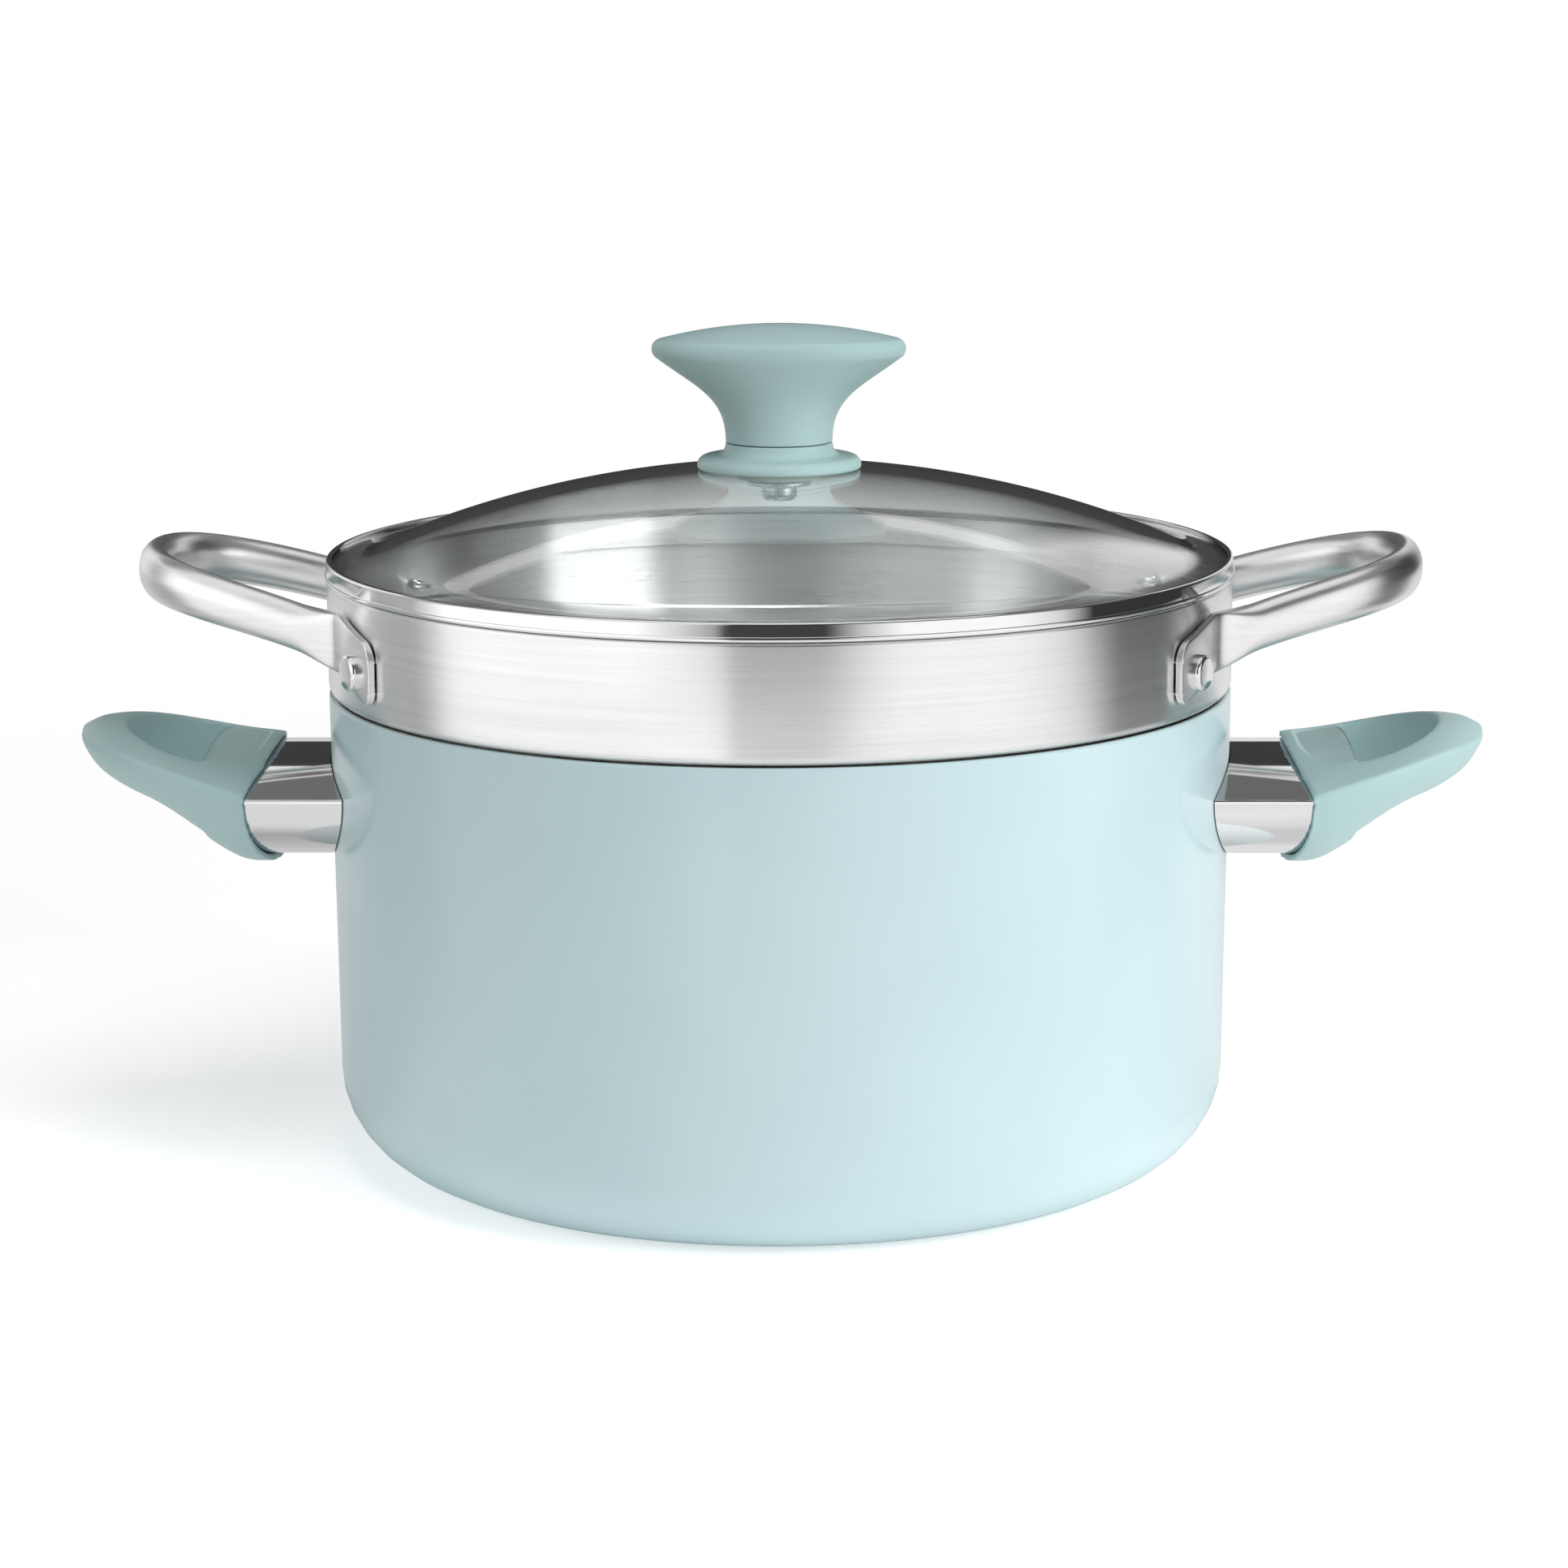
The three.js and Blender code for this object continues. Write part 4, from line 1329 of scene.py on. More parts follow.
@dataclass
class Insert:
    """The hemmed band, and the basket with drain holes that hangs in the pot."""

    pot: Pot
    top: float = field(default_factory=lambda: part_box("pasta_insert")[1].z)
    floor: float = field(default_factory=lambda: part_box("pasta_insert")[0].z)
    sheet: float = 0.9 * MM
    clearance: float = 3 * MM
    basket_corner: float = 14 * MM
    band_round: float = 2.5 * MM
    hem: float = 1.9 * MM
    hem_height: float = 5 * MM
    hem_round: float = 0.9048 * MM
    hem_edge: float = 0.4 * MM
    ledge_round: float = 1.2 * MM
    hole: float = 8 * MM
    drill_reach: float = 2 * MM
    drill_depth: float = 4 * MM
    hole_steps: int = 24
    floor_pitch: float = 30 * MM
    holes_per_ring: int = 6
    wall_holes: int = 24
    wall_rows: int = 2
    wall_pitch: float = 26 * MM
    wall_start: float = 14 * MM

    def __post_init__(self) -> None:
        """Works out where the band sits on the pot's rim."""
        self.foot = self.pot.height + SEAT_GAP

    def basket_at(self, height: float) -> float:
        """Gives the basket's outer radius at a height."""
        return self.pot.outer_at(height) - self.pot.wall - self.clearance

    def build(self) -> None:
        """Turns the sheet and drills the basket."""
        rim, sheet = self.pot.rim, self.sheet
        inside = self.floor + sheet
        hem = rim - self.hem
        work = turned_mesh(
            [
                Corner(0, self.floor),
                Corner(self.basket_at(self.floor), self.floor, self.basket_corner),
                Corner(self.basket_at(self.foot), self.foot, self.ledge_round),
                Corner(rim, self.foot, self.band_round),
                Corner(rim, self.top, self.hem_round),
                Corner(hem, self.top, self.hem_round),
                Corner(hem, self.top - self.hem_height, self.hem_edge),
                Corner(rim - sheet, self.top - self.hem_height),
                Corner(rim - sheet, self.foot + sheet, self.band_round - sheet),
                Corner(self.basket_at(self.foot) - sheet, self.foot + sheet, self.ledge_round + sheet),
                Corner(self.basket_at(inside) - sheet, inside, self.basket_corner - sheet),
                Corner(0, inside),
            ]
        )
        piece = new_object("finished_pasta_insert", work)
        carve(piece, [*self.floor_drills(), *self.wall_drills()])
        soften(piece)
        dress(piece, "pasta_insert", Body.INSERT, Slot.BRUSHED)

    def floor_drills(self) -> list[bmesh.types.BMesh]:
        """Makes the upright cutters of the basket's floor, in rings that each add the same number of holes.

        Returns:
            The closed cutters.
        """
        flat = self.basket_at(self.floor) - self.basket_corner - self.hole
        tools = []
        for ring in range(int(flat / self.floor_pitch) + 1):
            count = max(1, ring * self.holes_per_ring)
            for step in range(count):
                start, end = self.floor - self.drill_reach, self.floor + self.drill_depth
                tool = bar_mesh(self.hole, start, end, self.hole_steps)
                turn = Matrix.Rotation(math.tau * step / count, 4, "Z")
                tools.append(moved(tool, turn @ Matrix.Translation((ring * self.floor_pitch, 0, 0))))
        return tools

    def wall_drills(self) -> list[bmesh.types.BMesh]:
        """Makes the level cutters of the basket's wall, each row turned by half a step.

        Returns:
            The closed cutters.
        """
        tools = []
        lay = Matrix.Rotation(math.pi / 2, 4, "Y")
        facet_turn = math.pi / (2 * self.wall_holes)
        for row in range(self.wall_rows):
            height = self.floor + self.basket_corner + self.wall_start + row * self.wall_pitch
            radius = self.basket_at(height)
            for step in range(self.wall_holes):
                start, end = radius - self.drill_depth, radius + self.drill_reach
                tool = bar_mesh(self.hole, start, end, self.hole_steps)
                turn = Matrix.Rotation(math.tau * (step + row / 2) / self.wall_holes + facet_turn, 4, "Z")
                tools.append(moved(tool, turn @ Matrix.Translation((0, 0, height)) @ lay))
        return tools


@dataclass
class LoopSection:
    """One section across a loop handle: where it is, and how thick, tall and square it is."""

    point: Vector
    thick: float
    tall: float
    square: float

    def ring(self, ahead: Vector, count: int) -> list[Vector]:
        """Gives points round the section, upright across the direction ahead.

        Args:
            ahead: The direction that the bar runs in.
            count: Number of points.

        Returns:
            The points.
        """
        across = Vector((-ahead.y, ahead.x, 0)).normalized()
        points = []
        for step in range(count):
            turn = math.tau * (step + 0.5) / count
            side, rise = (
                math.copysign(abs(value) ** (2 / self.square), value)
                for value in (math.cos(turn), math.sin(turn))
            )
            out = across * (side * self.thick / 2)
            points.append(self.point + out + Vector((0, 0, rise * self.tall / 2)))
        return points


@dataclass
class LoopHandle:
    """A steel loop with two flattened ends that are riveted to the insert's band."""

    insert: Insert
    side: Side
    reach: float = 50.8 * MM
    end_angle: float = math.radians(33)
    root_angle: float = math.radians(23.5)
    plate: float = 2 * MM
    bar: float = 9 * MM
    plate_height: float = 17 * MM
    root_height: float = 15.5 * MM
    neck_height: float = 12.6 * MM
    bar_height: float = 13.6 * MM
    plate_level: float = 12.6 * MM
    root_rise: float = 6 * MM
    tip_rise: float = 19.8 * MM
    elbow: float = 6.8 * MM
    elbow_run: float = 10.7 * MM
    toe_in: float = math.radians(15.7)
    bow_pull: float = 17.7 * MM
    tip_pull: float = 33 * MM
    squareness: tuple[float, float, float, float] = (9, 7, 2.2, 2.1)
    plate_steps: int = 20
    elbow_steps: int = 10
    bow_steps: int = 18
    ring_points: int = 40
    plate_corner: float = 4.5 * MM
    plate_edge: float = 0.35 * MM
    plate_edge_steps: int = 3
    rivet_angle: float = math.radians(28.5)
    rivet_level: float = 12.8 * MM
    rivet_shank: float = 3 * MM
    rivet_sink: float = 0.1 * MM
    rivet_head: tuple[float, float] = (4.7 * MM, 2.2 * MM)
    rivet_head_round: float = 1.1 * MM
    rivet_crown: float = 0.132 * MM
    rivet_dome: tuple[float, float] = (5 * MM, 3 * MM)
    rivet_dome_top: float = 4.25 * MM
    rivet_dome_round: float = 2.25 * MM
    rivet_dome_edge: float = 0.3 * MM

    def __post_init__(self) -> None:
        """Works out the loop's places on the band."""
        self.pot = self.insert.pot
        self.inner = self.pot.rim + SEAT_GAP
        self.middle = self.inner + self.plate / 2
        self.level = self.pot.height + self.plate_level

    def build(self) -> None:
        """Makes the loop and its two rivets."""
        self.loop()
        for place, angle in (("front", -self.rivet_angle), ("rear", self.rivet_angle)):
            if self.side is Side.LEFT:
                angle = -angle
            self.rivet(f"{self.side.word}_{place}_rivet", angle + self.side.value)

    def on_band(self, angle: float, height: float) -> Vector:
        """Gives a point on the middle of a plate."""
        return Vector((self.middle * math.cos(angle), self.middle * math.sin(angle), height))

    def half_path(self) -> list[LoopSection]:
        """Works out half of the loop.

        Returns:
            Its sections from the end of a plate to the tip.
        """
        root_level = self.level + self.root_rise
        tip = Vector((self.pot.rim + self.reach - self.bar / 2, 0, self.level + self.tip_rise))
        bow_way = Vector((math.cos(self.toe_in), -math.sin(self.toe_in), 0))
        band_way = Vector((math.sin(self.root_angle), -math.cos(self.root_angle), 0))
        bow_way.z = (tip.z - root_level) / (tip.x - self.middle)
        root = self.on_band(self.root_angle, root_level)
        corner = root + band_way * self.elbow
        elbow_end = corner + bow_way * self.elbow_run
        plate = [
            self.on_band(mix(self.end_angle, self.root_angle, share), mix(self.level, root_level, share))
            for share in ((step / self.plate_steps) ** 2 for step in range(self.plate_steps + 1))
        ]
        elbow = round_bend(root, corner, elbow_end, self.elbow_steps)
        wide_tip = Vector((tip.x, self.tip_pull, tip.z))
        bow_pull = elbow_end + bow_way * self.bow_pull
        bow = interpolate_bezier(elbow_end, bow_pull, wide_tip, tip, self.bow_steps)
        thick = (self.plate, self.plate, self.bar, self.bar)
        tall = (self.plate_height, self.root_height, self.neck_height, self.bar_height)
        sections = []
        for index, points in enumerate((plate, elbow[1:], bow[1:])):
            for step, point in enumerate(points, start=1):
                share = ease(step / len(points))
                rows = (thick, tall, self.squareness)
                sections.append(LoopSection(point, *(mix(*row[index : index + 2], share) for row in rows)))
        for section in sections:
            short = 1 - min(1.0, (section.point - plate[0]).length / self.plate_corner)
            section.tall -= 2 * self.plate_corner * (1 - math.sqrt(1 - short**2))
        return sections

    def loop(self) -> None:
        """Lofts the loop from one plate to the other and seats its plates on the band."""
        half = self.half_path()
        mirror = Vector((1, -1, 1))
        other = [LoopSection(s.point * mirror, s.thick, s.tall, s.square) for s in reversed(half[:-1])]
        path = [*half, *other]
        skin = Loft()
        for index, section in enumerate(path):
            before, after = path[max(0, index - 1)], path[min(len(path) - 1, index + 1)]
            skin.add(section.ring(after.point - before.point, self.ring_points))
        work = skin.close()
        for vert in work.verts:
            radius = math.hypot(vert.co.x, vert.co.y)
            if radius < self.inner:
                vert.co.xy *= self.inner / radius
        rims = [edge for edge in work.edges if any(len(face.verts) > 4 for face in edge.link_faces)]
        round_off(work, rims, self.plate_edge, "EDGES", self.plate_edge_steps)
        work.transform(self.side.turn)
        name = f"{self.side.word}_loop_handle"
        piece = new_object(f"finished_{name}", work)
        dress(piece, name, Body.INSERT, Slot.SATIN)

    def rivet(self, name: str, angle: float) -> None:
        """Turns a rivet with a polished button head outside and a polished dome inside the band.

        Args:
            name: The rivet's node.
            angle: Its turn about the pot's axis from +X.
        """
        head, head_height = self.rivet_head
        dome, dome_height = self.rivet_dome
        inner = self.pot.rim - self.insert.sheet - SEAT_GAP
        outer = self.inner + self.plate - self.rivet_sink
        corners = [
            Corner(0, inner - dome_height),
            Corner(self.rivet_dome_top, inner - dome_height, self.rivet_dome_round),
            Corner(dome, inner, self.rivet_dome_edge),
            Corner(self.rivet_shank, inner),
            Corner(self.rivet_shank, outer),
            Corner(head, outer),
            Corner(head, outer + head_height, self.rivet_head_round),
            Corner(0, outer + head_height + self.rivet_crown),
        ]
        work = turned_mesh(corners, SMALL_ROUND_STEPS)
        height = self.pot.height + self.rivet_level
        lay = Matrix.Translation((0, 0, height)) @ Matrix.Rotation(math.pi / 2, 4, "Y")
        piece = new_object(f"finished_{name}", moved(work, Matrix.Rotation(angle, 4, "Z") @ lay))
        dress(piece, name, Body.INSERT, Slot.SATIN)
        piece.data.materials.append(material_for(Slot.BRIGHT))
        for face in piece.data.polygons:
            face.material_index = int(not inner <= face.center.xy.length <= outer)


# Lid


@dataclass
class Lid:
    """The glass dome in its steel rim, with the collar, knob and the fastening under the glass."""

    insert: Insert
    sheet: float = 0.6 * MM
    overhang: float = 0.55 * MM
    skirt: float = 8.5 * MM
    skirt_clearance: float = 0.9 * MM
    skirt_edge: float = 0.2 * MM
    lip: float = 1.1 * MM
    lip_edge: float = 0.25 * MM
    rim_round: float = 0.8 * MM
    rim_slack: float = 0.1 * MM
    rim_lean: float = 0.27 * MM
    bead: float = 1.1 * MM
    bead_foot: float = 0.5 * MM
    bead_round: float = 0.45 * MM
    bead_step: float = 0.25 * MM
    bead_slope: float = 0.2 * MM
    bead_groove: float = 0.15 * MM
    glass: float = 3 * MM
    brim: float = 7.5 * MM
    bend: float = 5 * MM
    rise: float = 23.8 * MM
    hole: float = 8 * MM
    arc_steps: int = 48
    collar: float = 22 * MM
    collar_height: float = 6.2 * MM
    collar_flange: float = 3.2 * MM
    collar_edge: float = 0.8 * MM
    flange_round: float = 2.1 * MM
    flare: tuple[float, float] = (0.4 * MM, 0.7 * MM)
    flare_round: float = 2.2 * MM
    collar_top_edge: float = 0.5 * MM
    neck: float = 14.3 * MM
    knob_length: float = 34 * MM
    knob_width: float = 18 * MM
    knob_height: float = 31.3 * MM
    knob_crown: float = 6.7 * MM
    knob_lip: float = 2.8 * MM
    lip_turn: tuple[float, float] = (math.radians(-53), math.radians(76))
    lip_steps: int = 16
    flare_pull: tuple[float, float] = (12 * MM, 13 * MM)
    flare_steps: int = 25
    crown_steps: int = 20
    knob_points: int = 96
    nut_bore: float = 9.6 * MM
    nut_length: float = 12.6 * MM
    screw: float = 5 * MM
    screw_reach: float = 10 * MM
    screw_tip: float = 0.5 * MM
    screw_edge: float = 0.2 * MM
    gasket: tuple[float, float] = (22 * MM, 1.5 * MM)
    washer: tuple[float, float] = (17 * MM, 1.2 * MM)
    screw_head: tuple[float, float] = (9.6 * MM, 3.4 * MM)

    def __post_init__(self) -> None:
        """Works out the dome and the heights of what stands on it."""
        rim = self.insert.pot.rim
        self.seat = self.insert.top + SEAT_GAP
        self.outer = rim + self.overhang
        self.skirt_outer = rim - self.insert.hem - self.skirt_clearance
        self.skirt_inner = self.skirt_outer - self.sheet
        self.edge = self.outer - self.sheet - SEAT_GAP
        self.brim_foot = self.seat + self.sheet + SEAT_GAP
        self.brim_top = self.brim_foot + self.glass
        self.dome_outer = ((self.edge - self.brim) ** 2 + self.rise**2) / (2 * self.rise)
        self.dome_inner = self.dome_outer - self.glass
        self.centre = self.brim_top + self.rise - self.dome_outer
        self.collar_top = self.dome_at(self.dome_outer, 0) + SEAT_GAP + self.collar_height
        self.knob_foot = self.collar_top + SEAT_GAP
        self.bore = self.screw + 2 * SEAT_GAP

    def dome_at(self, radius: float, out: float) -> float:
        """Gives the height of a dome of one radius at a distance from the axis."""
        return self.centre + math.sqrt(radius**2 - out**2)

    def build(self) -> None:
        """Makes the lid's pieces."""
        self.glass_dome()
        self.rim()
        self.knob_collar()
        self.knob()
        self.fastening()
        repaint("knob_nut", Slot.PLAIN)

    def glass_line(self, work: bmesh.types.BMesh, radius: float, level: float) -> list[bmesh.types.BMVert]:
        """Draws one side of the glass: an arc from the knob's hole, a bend and the flat edge.

        Args:
            work: The bmesh that takes the line.
            radius: Radius of the arc.
            level: Height of the flat edge.

        Returns:
            The line's two ends.
        """
        foot = math.sqrt(radius**2 - (level - self.centre) ** 2)
        start, end = (math.asin(out / radius) for out in (self.hole / 2, foot - self.bend))
        first = work.verts.new((self.hole / 2, 0, self.dome_at(radius, self.hole / 2)))
        made = bmesh.ops.spin(
            work,
            geom=[first],
            cent=(0, 0, self.centre),
            axis=(0, 1, 0),
            dvec=(0, 0, 0),
            angle=end - start,
            steps=self.arc_steps,
            use_merge=False,
            use_duplicate=False,
        )
        last = next(item for item in made["geom_last"] if isinstance(item, bmesh.types.BMVert))
        corner = Vector((last.co.x + (last.co.z - level) / math.tan(end), 0, level))
        flat = corner + Vector((self.bend, 0, 0))
        points = [*round_bend(last.co, corner, flat, FILLET_STEPS)[1:], Vector((self.edge, 0, level))]
        line = [last, *(work.verts.new(point) for point in points)]
        for pair in zip(line, line[1:]):
            work.edges.new(pair)
        return [first, line[-1]]

    def glass_dome(self) -> None:
        """Spins the glass between its two sides."""
        work = bmesh.new()
        top = self.glass_line(work, self.dome_outer, self.brim_top)
        under = self.glass_line(work, self.dome_inner, self.brim_foot)
        for pair in zip(top, under):
            work.edges.new(pair)
        turn_profile(work, ROUND_STEPS)
        dress(new_object("finished_lid_glass", work), "lid_glass", Body.LID, Slot.GLASS)

    def rim(self) -> None:
        """Turns the rim: a skirt, a web under the glass, a face with a bead at its foot and a lip."""
        lip = self.edge - self.lip
        lip_foot = self.brim_top + SEAT_GAP
        top = lip_foot + self.sheet
        web = self.seat + self.sheet
        bead_top = self.seat + self.bead
        inside = self.edge + self.rim_slack
        face = self.outer - self.bead_step
        work = turned_mesh(
            [
                Corner(self.skirt_inner, self.seat - self.skirt),
                Corner(self.skirt_outer, self.seat - self.skirt, self.skirt_edge),
                Corner(self.skirt_outer, self.seat),
                Corner(self.outer, self.seat, self.bead_foot),
                Corner(self.outer, bead_top, self.bead_round),
                Corner(face, bead_top + self.bead_slope, self.bead_groove),
                Corner(face - self.rim_lean, top, self.rim_round),
                Corner(lip, top, self.lip_edge),
                Corner(lip, lip_foot),
                Corner(inside, lip_foot),
                Corner(inside, web),
                Corner(self.skirt_inner, web),
            ],
            ROUND_STEPS + SMALL_ROUND_STEPS,
        )
        piece = new_object("finished_lid_rim", work)
        dress(piece, "lid_rim", Body.LID, Slot.BRIGHT)
        piece.data.materials.append(material_for(Slot.BRUSHED))
        for polygon in piece.data.polygons:
            polygon.material_index = int(polygon.center.z < self.seat - self.bead)

    def knob_collar(self) -> None:
        """Turns the collar with its rounded flange and the flare up to the knob."""
        under = self.dome_outer + SEAT_GAP
        flange_top = self.dome_at(under, self.collar) + self.collar_flange
        flare_out, flare_rise = self.flare
        work = turned_mesh(
            [
                Corner(self.bore / 2, self.dome_at(under, self.bore / 2)),
                Corner(self.neck, self.dome_at(under, self.neck)),
                Corner(self.collar, self.dome_at(under, self.collar), self.collar_edge),
                Corner(self.collar, flange_top, self.flange_round),
                Corner(self.neck + flare_out, flange_top + flare_rise, self.flare_round),
                Corner(self.neck, self.collar_top, self.collar_top_edge),
                Corner(self.bore / 2, self.collar_top),
            ],
            ROUND_STEPS,
        )
        dress(new_object("finished_knob_collar", work), "knob_collar", Body.LID, Slot.PLASTIC)

    def knob(self) -> None:
        """Lofts the knob from its round neck to its long oval top, and bores it for the nut."""
        skin = Loft()
        widest = self.knob_foot + self.knob_height - self.knob_crown
        for point in self.knob_line(widest):
            if point.z < widest:
                share = (point.x - self.neck) / (self.knob_length - self.neck)
                half_width = mix(self.neck, self.knob_width, share)
            else:
                half_width = self.knob_width * point.x / self.knob_length
            skin.add(self.oval(point.z, point.x, half_width))
        piece = new_object("finished_knob", skin.close())
        carve(piece, [bar_mesh(self.nut_bore, self.knob_foot - MM, self.knob_foot + self.nut_length)])
        soften(piece)
        dress(piece, "knob", Body.LID, Slot.PLASTIC)

    def knob_line(self, widest: float) -> list[Vector]:
        """Draws one side of the knob's outline: the neck, the flare, a round lip and a flat crown.

        Args:
            widest: Height of the lip's middle.

        Returns:
            Points from the neck's foot almost to the top.
        """
        middle = Vector((self.knob_length - self.knob_lip, 0, widest))
        turns = [mix(*self.lip_turn, step / self.lip_steps) for step in range(self.lip_steps + 1)]
        lip = [middle + self.knob_lip * Vector((math.cos(turn), 0, math.sin(turn))) for turn in turns]
        foot = Vector((self.neck, 0, self.knob_foot))
        ahead = Vector((-math.sin(turns[0]), 0, math.cos(turns[0])))
        low, high = self.flare_pull
        pulls = foot + Vector((0, 0, low)), lip[0] - ahead * high
        flare = interpolate_bezier(foot, *pulls, lip[0], self.flare_steps)
        top = self.knob_foot + self.knob_height
        sizes = (1 - step / self.crown_steps for step in range(1, self.crown_steps))
        crown = [Vector((lip[-1].x * size, 0, mix(top, lip[-1].z, size**2))) for size in sizes]
        return [*flare[:-1], *lip, *crown]

    def oval(self, height: float, half_length: float, half_width: float) -> list[Vector]:
        """Gives the points of a level oval."""
        turns = (math.tau * step / self.knob_points for step in range(self.knob_points))
        return [Vector((half_length * math.cos(turn), half_width * math.sin(turn), height)) for turn in turns]

    def fastening(self) -> None:
        """Turns the gasket, the washer and the screw under the glass."""
        top = self.dome_at(self.dome_inner, self.gasket[0] / 2) - SEAT_GAP
        for node, (width, thickness), slot in (
            ("lid_gasket", self.gasket, Slot.SILICONE),
            ("knob_washer", self.washer, Slot.PLAIN),
        ):
            corners = [
                Corner(self.bore / 2, top - thickness),
                Corner(width / 2, top - thickness, thickness / 3),
                Corner(width / 2, top, thickness / 3),
                Corner(self.bore / 2, top),
            ]
            piece = new_object(f"finished_{node}", turned_mesh(corners, SMALL_ROUND_STEPS))
            dress(piece, node, Body.LID, slot)
            top -= thickness + SEAT_GAP
        width, height = self.screw_head
        end = self.knob_foot + SEAT_GAP + self.screw_reach
        corners = [
            Corner(0, top - height),
            Corner(width / 2, top - height, height / 2),
            Corner(width / 2, top, self.screw_edge),
            Corner(self.screw / 2, top),
            Corner(self.screw / 2, end, self.screw_tip),
            Corner(0, end),
        ]
        piece = new_object("finished_knob_screw", turned_mesh(corners, SMALL_ROUND_STEPS))
        carve(piece, [bar_mesh(width / 2, top - height - MM, top - height / 2, HEX_SIDES)])
        soften(piece)
        dress(piece, "knob_screw", Body.LID, Slot.PLAIN)


# Studio


@dataclass(frozen=True)
class TentRing:
    """One ring of the reflection tent, which only reflected rays show.

    Attributes:
        name: The ring's name.
        low: Radius and height of its lower edge.
        high: Radius and height of its upper edge.
        tones: Pairs of an azimuth in degrees, from -180 to 180 with 0 towards the camera, and a grey value.
        inside_gain: How much brighter it is under the glass than outside.
    """

    name: str
    low: tuple[float, float]
    high: tuple[float, float]
    tones: tuple[tuple[float, float], ...]
    inside_gain: float

    def build(self) -> None:
        """Spins the ring and hides it from all but gloss and the view through glass."""
        work = bmesh.new()
        ends = [work.verts.new((radius, 0, height)) for radius, height in (self.low, self.high)]
        work.edges.new(ends)
        turn_profile(work, SMALL_ROUND_STEPS)
        ring = new_object(self.name, work)
        ring.data.materials.append(self.material())
        for kind in ("camera", "diffuse", "shadow", "volume_scatter"):
            setattr(ring, f"visible_{kind}", False)

    def material(self) -> bpy.types.Material:
        """Builds the ring's glow, which changes with the azimuth.

        Returns:
            The new material.
        """
        material = bpy.data.materials.new(self.name)
        material.use_nodes = True
        material.cycles.emission_sampling = "NONE"
        material.node_tree.nodes.clear()
        shader = Shader(material.node_tree)
        parts = shader.add("ShaderNodeSeparateXYZ")
        shader.join(shader.add("ShaderNodeTexCoord").outputs["Object"], parts.inputs[0])
        towards = shader.maths("MULTIPLY", parts.outputs[1], -1.0)
        azimuth = shader.maths("ARCTAN2", parts.outputs[0], towards)
        share = shader.maths("MULTIPLY_ADD", azimuth, 1 / math.tau, 0.5)
        ramp = shader.add("ShaderNodeValToRGB")
        shader.join(share, ramp.inputs[0])
        stops = ramp.color_ramp.elements
        first, last = stops
        for stop, (turn, tone) in ((first, self.tones[0]), (last, self.tones[-1])):
            stop.position = turn / FULL_TURN + 0.5
            stop.color = (tone, tone, tone, OPAQUE)
        for turn, tone in self.tones[1:-1]:
            stops.new(turn / FULL_TURN + 0.5).color = (tone, tone, tone, OPAQUE)
        glow = shader.add("ShaderNodeEmission")
        shader.join(ramp.outputs[0], glow.inputs[0])
        paths = shader.add("ShaderNodeLightPath")
        reflected = shader.maths("MINIMUM", paths.outputs["Glossy Depth"], 1.0)
        behind_glass = shader.maths("MINIMUM", paths.outputs["Transmission Depth"], 1.0)
        strength = shader.maths("MULTIPLY_ADD", behind_glass, self.inside_gain - 1, 1.0)
        shader.join(strength, glow.inputs["Strength"])
        clear = shader.add("ShaderNodeBsdfTransparent")
        output = shader.add("ShaderNodeOutputMaterial")
        shader.join(shader.mix_shaders(reflected, clear, glow), output.inputs["Surface"])
        return material


@dataclass(frozen=True)
class Softbox:
    """A square lamp that faces the pot.

    Attributes:
        name: The lamp's name.
        place: Where its middle is.
        width: Length of its sides.
        power: Its power in watts.
    """

    name: str
    place: tuple[float, float, float]
    width: float
    power: float

    def build(self, target: Vector) -> None:
        """Hangs the lamp.

        Args:
            target: Where it faces.
        """
        data = bpy.data.lights.new(self.name, "AREA")
        data.shape = "SQUARE"
        data.size = self.width
        data.energy = self.power
        lamp = bpy.data.objects.new(self.name, data)
        lamp.location = self.place
        lamp.rotation_euler = (target - lamp.location).to_track_quat("-Z", "Y").to_euler()
        lamp.visible_glossy = False
        bpy.context.scene.collection.objects.link(lamp)


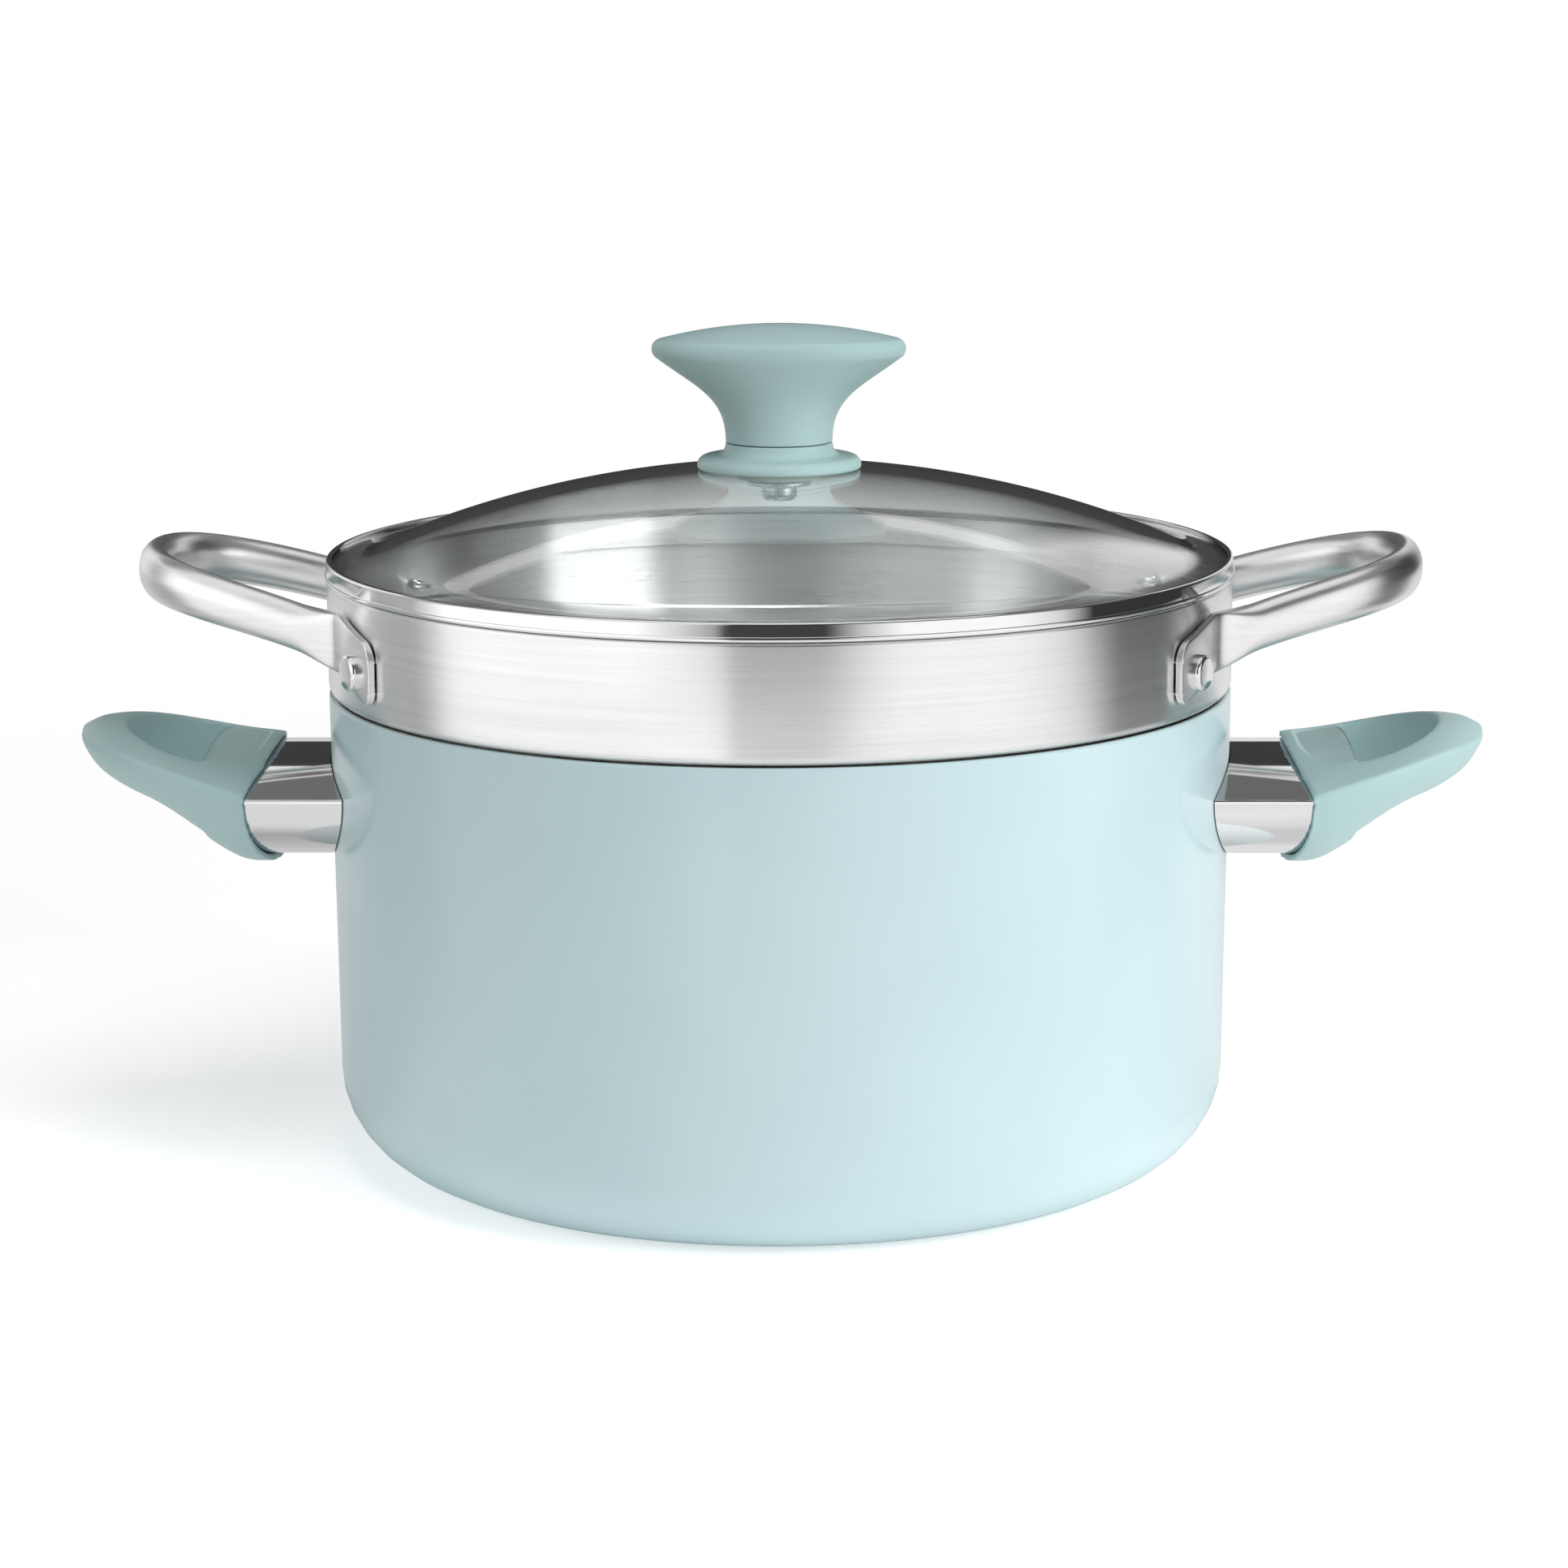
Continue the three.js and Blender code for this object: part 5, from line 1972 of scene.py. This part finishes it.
@dataclass
class Studio:
    """White floor, soft lamps, a tent for the reflections and the camera."""

    focal_pixels: float = 5240
    frame_pixels: float = 1932
    sensor: float = 36
    eye: Vector = field(default_factory=lambda: Vector((25 * MM, -1134.5 * MM, 329.9 * MM)))
    pitch: float = 0.2
    yaw: float = 0.0212
    roll: float = -0.004
    floor_size: float = 40
    floor_tints: tuple[Colour, Colour] = ((0.955, 0.955, 0.955), (0.965, 0.965, 0.965))
    floor_grain: float = 300
    floor_roughness: float = 0.9
    floor_gloss: float = 0.1
    shadow_reach: tuple[float, float] = (0.3, 0.75)
    sky: float = 0.2
    bounce: float = 0.31
    floor_lift: float = 0.45
    lamps: tuple[Softbox, ...] = (
        Softbox("right_softbox", (0.85, -0.6, 0.45), 0.6, 7.6),
        Softbox("low_softbox", (0.8, -0.12, 0.12), 0.5, 1.2),
        Softbox("left_softbox", (-1.1, -0.7, 0.5), 0.8, 4.6),
        Softbox("top_softbox", (0.25, -0.5, 1.4), 0.9, 9),
    )
    tent: tuple[TentRing, ...] = (
        TentRing(
            "tent_skirt",
            low=(0.36, 0.001),
            high=(0.36, 0.14),
            tones=(
                *((-180, 0.6), (-118, 0.7), (-100, 0.45), (-84, 0.35), (-74, 1.0), (-30, 1.0), (-12, 1.35)),
                *((-9.6, 1.35), (-8.9, 0.85), (9, 0.9), (18, 1.05), (56, 1.05), (70, 0.95), (80, 0.2)),
                *((98, 0.2), (110, 0.9), (180, 0.7)),
            ),
            inside_gain=1.2,
        ),
        TentRing(
            "tent_floor",
            low=(0.14, 0.002),
            high=(0.36, 0.002),
            tones=(
                *((-180, 0.7), (-120, 0.6), (-85, 0.45), (-70, 0.8), (0, 0.85), (50, 0.95), (68, 0.85)),
                *((78, 0.7), (98, 0.7), (112, 0.85), (180, 0.7)),
            ),
            inside_gain=1.2,
        ),
        TentRing(
            "tent_wall",
            low=(1.2, 0.0),
            high=(1.2, 0.85),
            tones=(
                *((-180, 0.05), (-158, 0.05), (-145, 0.9), (-124, 0.9), (-112, 0.45), (-97, 0.5), (-84, 1.3)),
                *((-34, 1.3), (-14, 0.45), (-11, 0.06), (12, 0.06), (21, 0.7), (30, 1.15), (58, 1.15)),
                *((70, 0.8), (80, 0.04), (132, 0.04), (146, 0.6), (163, 0.85), (165.5, 0.05), (180, 0.05)),
            ),
            inside_gain=1.55,
        ),
        TentRing(
            "tent_strip",
            low=(1.2, 0.85),
            high=(1.2, 0.97),
            tones=((-180, 0.9), (-96, 1.0), (-12.5, 1.0), (-11, 0.06), (130, 0.06), (150, 0.9), (180, 0.9)),
            inside_gain=1.0,
        ),
        TentRing(
            "tent_upper",
            low=(1.2, 0.97),
            high=(1.0, 1.9),
            tones=(
                *((-180, 0.16), (-110, 0.2), (-96, 0.9), (-20, 0.8), (-11, 0.06), (25, 0.06), (60, 0.3)),
                *((110, 0.16), (180, 0.16)),
            ),
            inside_gain=1.0,
        ),
        TentRing(
            "tent_top",
            low=(1.0, 1.9),
            high=(0.001, 2.0),
            tones=((-180, 0.9), (0, 0.9), (180, 0.9)),
            inside_gain=0.3,
        ),
    )

    def build(self) -> None:
        """Sets up floor, light and camera."""
        bpy.context.scene.view_settings.view_transform = "Standard"
        self.floor()
        self.world()
        low, high = CAD_BOX
        for lamp in self.lamps:
            lamp.build((low + high) / 2)
        for ring in self.tent:
            ring.build()
        self.camera()

    def floor(self) -> None:
        """Lays a white floor that takes the pot's shadow and turns into the white surround further out."""
        work = bmesh.new()
        bmesh.ops.create_grid(work, x_segments=1, y_segments=1, size=self.floor_size / 2)
        floor = new_object("floor", work)
        material, shader, surface = new_material("white_floor")
        grain = Effect.GRAIN.place(shader, Density=self.floor_grain)
        tint = shader.between(grain.outputs["Tint"], 0, 1)
        shader.join(shader.blend(tint, *self.floor_tints), surface.inputs["Base Color"])
        set_values(surface, Roughness=self.floor_roughness, Specular_IOR_Level=self.floor_gloss)
        far = shader.add("ShaderNodeVectorMath", operation="LENGTH")
        shader.join(shader.add("ShaderNodeTexCoord").outputs["Object"], far.inputs[0])
        fade = shader.add("ShaderNodeMapRange", interpolation_type="SMOOTHSTEP")
        shader.join(far.outputs["Value"], fade.inputs["Value"])
        set_values(fade, From_Min=self.shadow_reach[0], From_Max=self.shadow_reach[1])
        paths = shader.add("ShaderNodeLightPath")
        scattered = paths.outputs["Is Diffuse Ray"]
        glow = shader.add("ShaderNodeEmission")
        shader.join(shader.maths("MULTIPLY_ADD", scattered, self.sky - 1, 1.0), glow.inputs["Strength"])
        set_values(surface, Emission_Color=WHITE)
        lift = shader.maths("MULTIPLY", paths.outputs["Is Camera Ray"], self.floor_lift)
        lift = shader.maths("MULTIPLY_ADD", scattered, self.bounce, lift)
        shader.join(lift, surface.inputs["Emission Strength"])
        both = shader.mix_shaders(fade.outputs[0], surface, glow)
        shader.join(both, material.node_tree.nodes["Material Output"].inputs["Surface"])
        material.cycles.emission_sampling = "NONE"
        floor.data.materials.append(material)

    def world(self) -> None:
        """Makes a white surround, which lights the object at the sky's own level."""
        world = bpy.data.worlds.new("studio")
        bpy.context.scene.world = world
        world.use_nodes = True
        shader = Shader(world.node_tree)
        paths = shader.add("ShaderNodeLightPath")
        seen = shader.maths("MAXIMUM", paths.outputs["Is Camera Ray"], paths.outputs["Is Glossy Ray"])
        seen = shader.maths("MAXIMUM", seen, paths.outputs["Is Transmission Ray"])
        strength = shader.maths("MULTIPLY_ADD", seen, 1 - self.sky, self.sky)
        background = world.node_tree.nodes["Background"]
        set_values(background, Color=WHITE)
        shader.join(strength, background.inputs["Strength"])

    def camera(self) -> None:
        """Stands the camera where the photograph was taken."""
        data = bpy.data.cameras.new("camera")
        data.sensor_width = self.sensor
        data.lens = self.sensor * self.focal_pixels / self.frame_pixels
        camera = bpy.data.objects.new("camera", data)
        turn = Matrix.Rotation(self.yaw, 4, "Z") @ Matrix.Rotation(math.pi / 2 - self.pitch, 4, "X")
        camera.matrix_world = Matrix.Translation(self.eye) @ turn @ Matrix.Rotation(self.roll, 4, "Z")
        bpy.context.scene.collection.objects.link(camera)
        bpy.context.scene.camera = camera


def main() -> None:
    """Builds the sub-assemblies in order, then the studio."""
    logging.basicConfig(level=logging.INFO, format="%(message)s")
    pot = Pot()
    insert = Insert(pot)
    pot.build()
    insert.build()
    for side in Side:
        SideHandle(pot, side).build()
        LoopHandle(insert, side).build()
    Lid(insert).build()
    Studio().build()


if __name__ == "__main__":
    main()
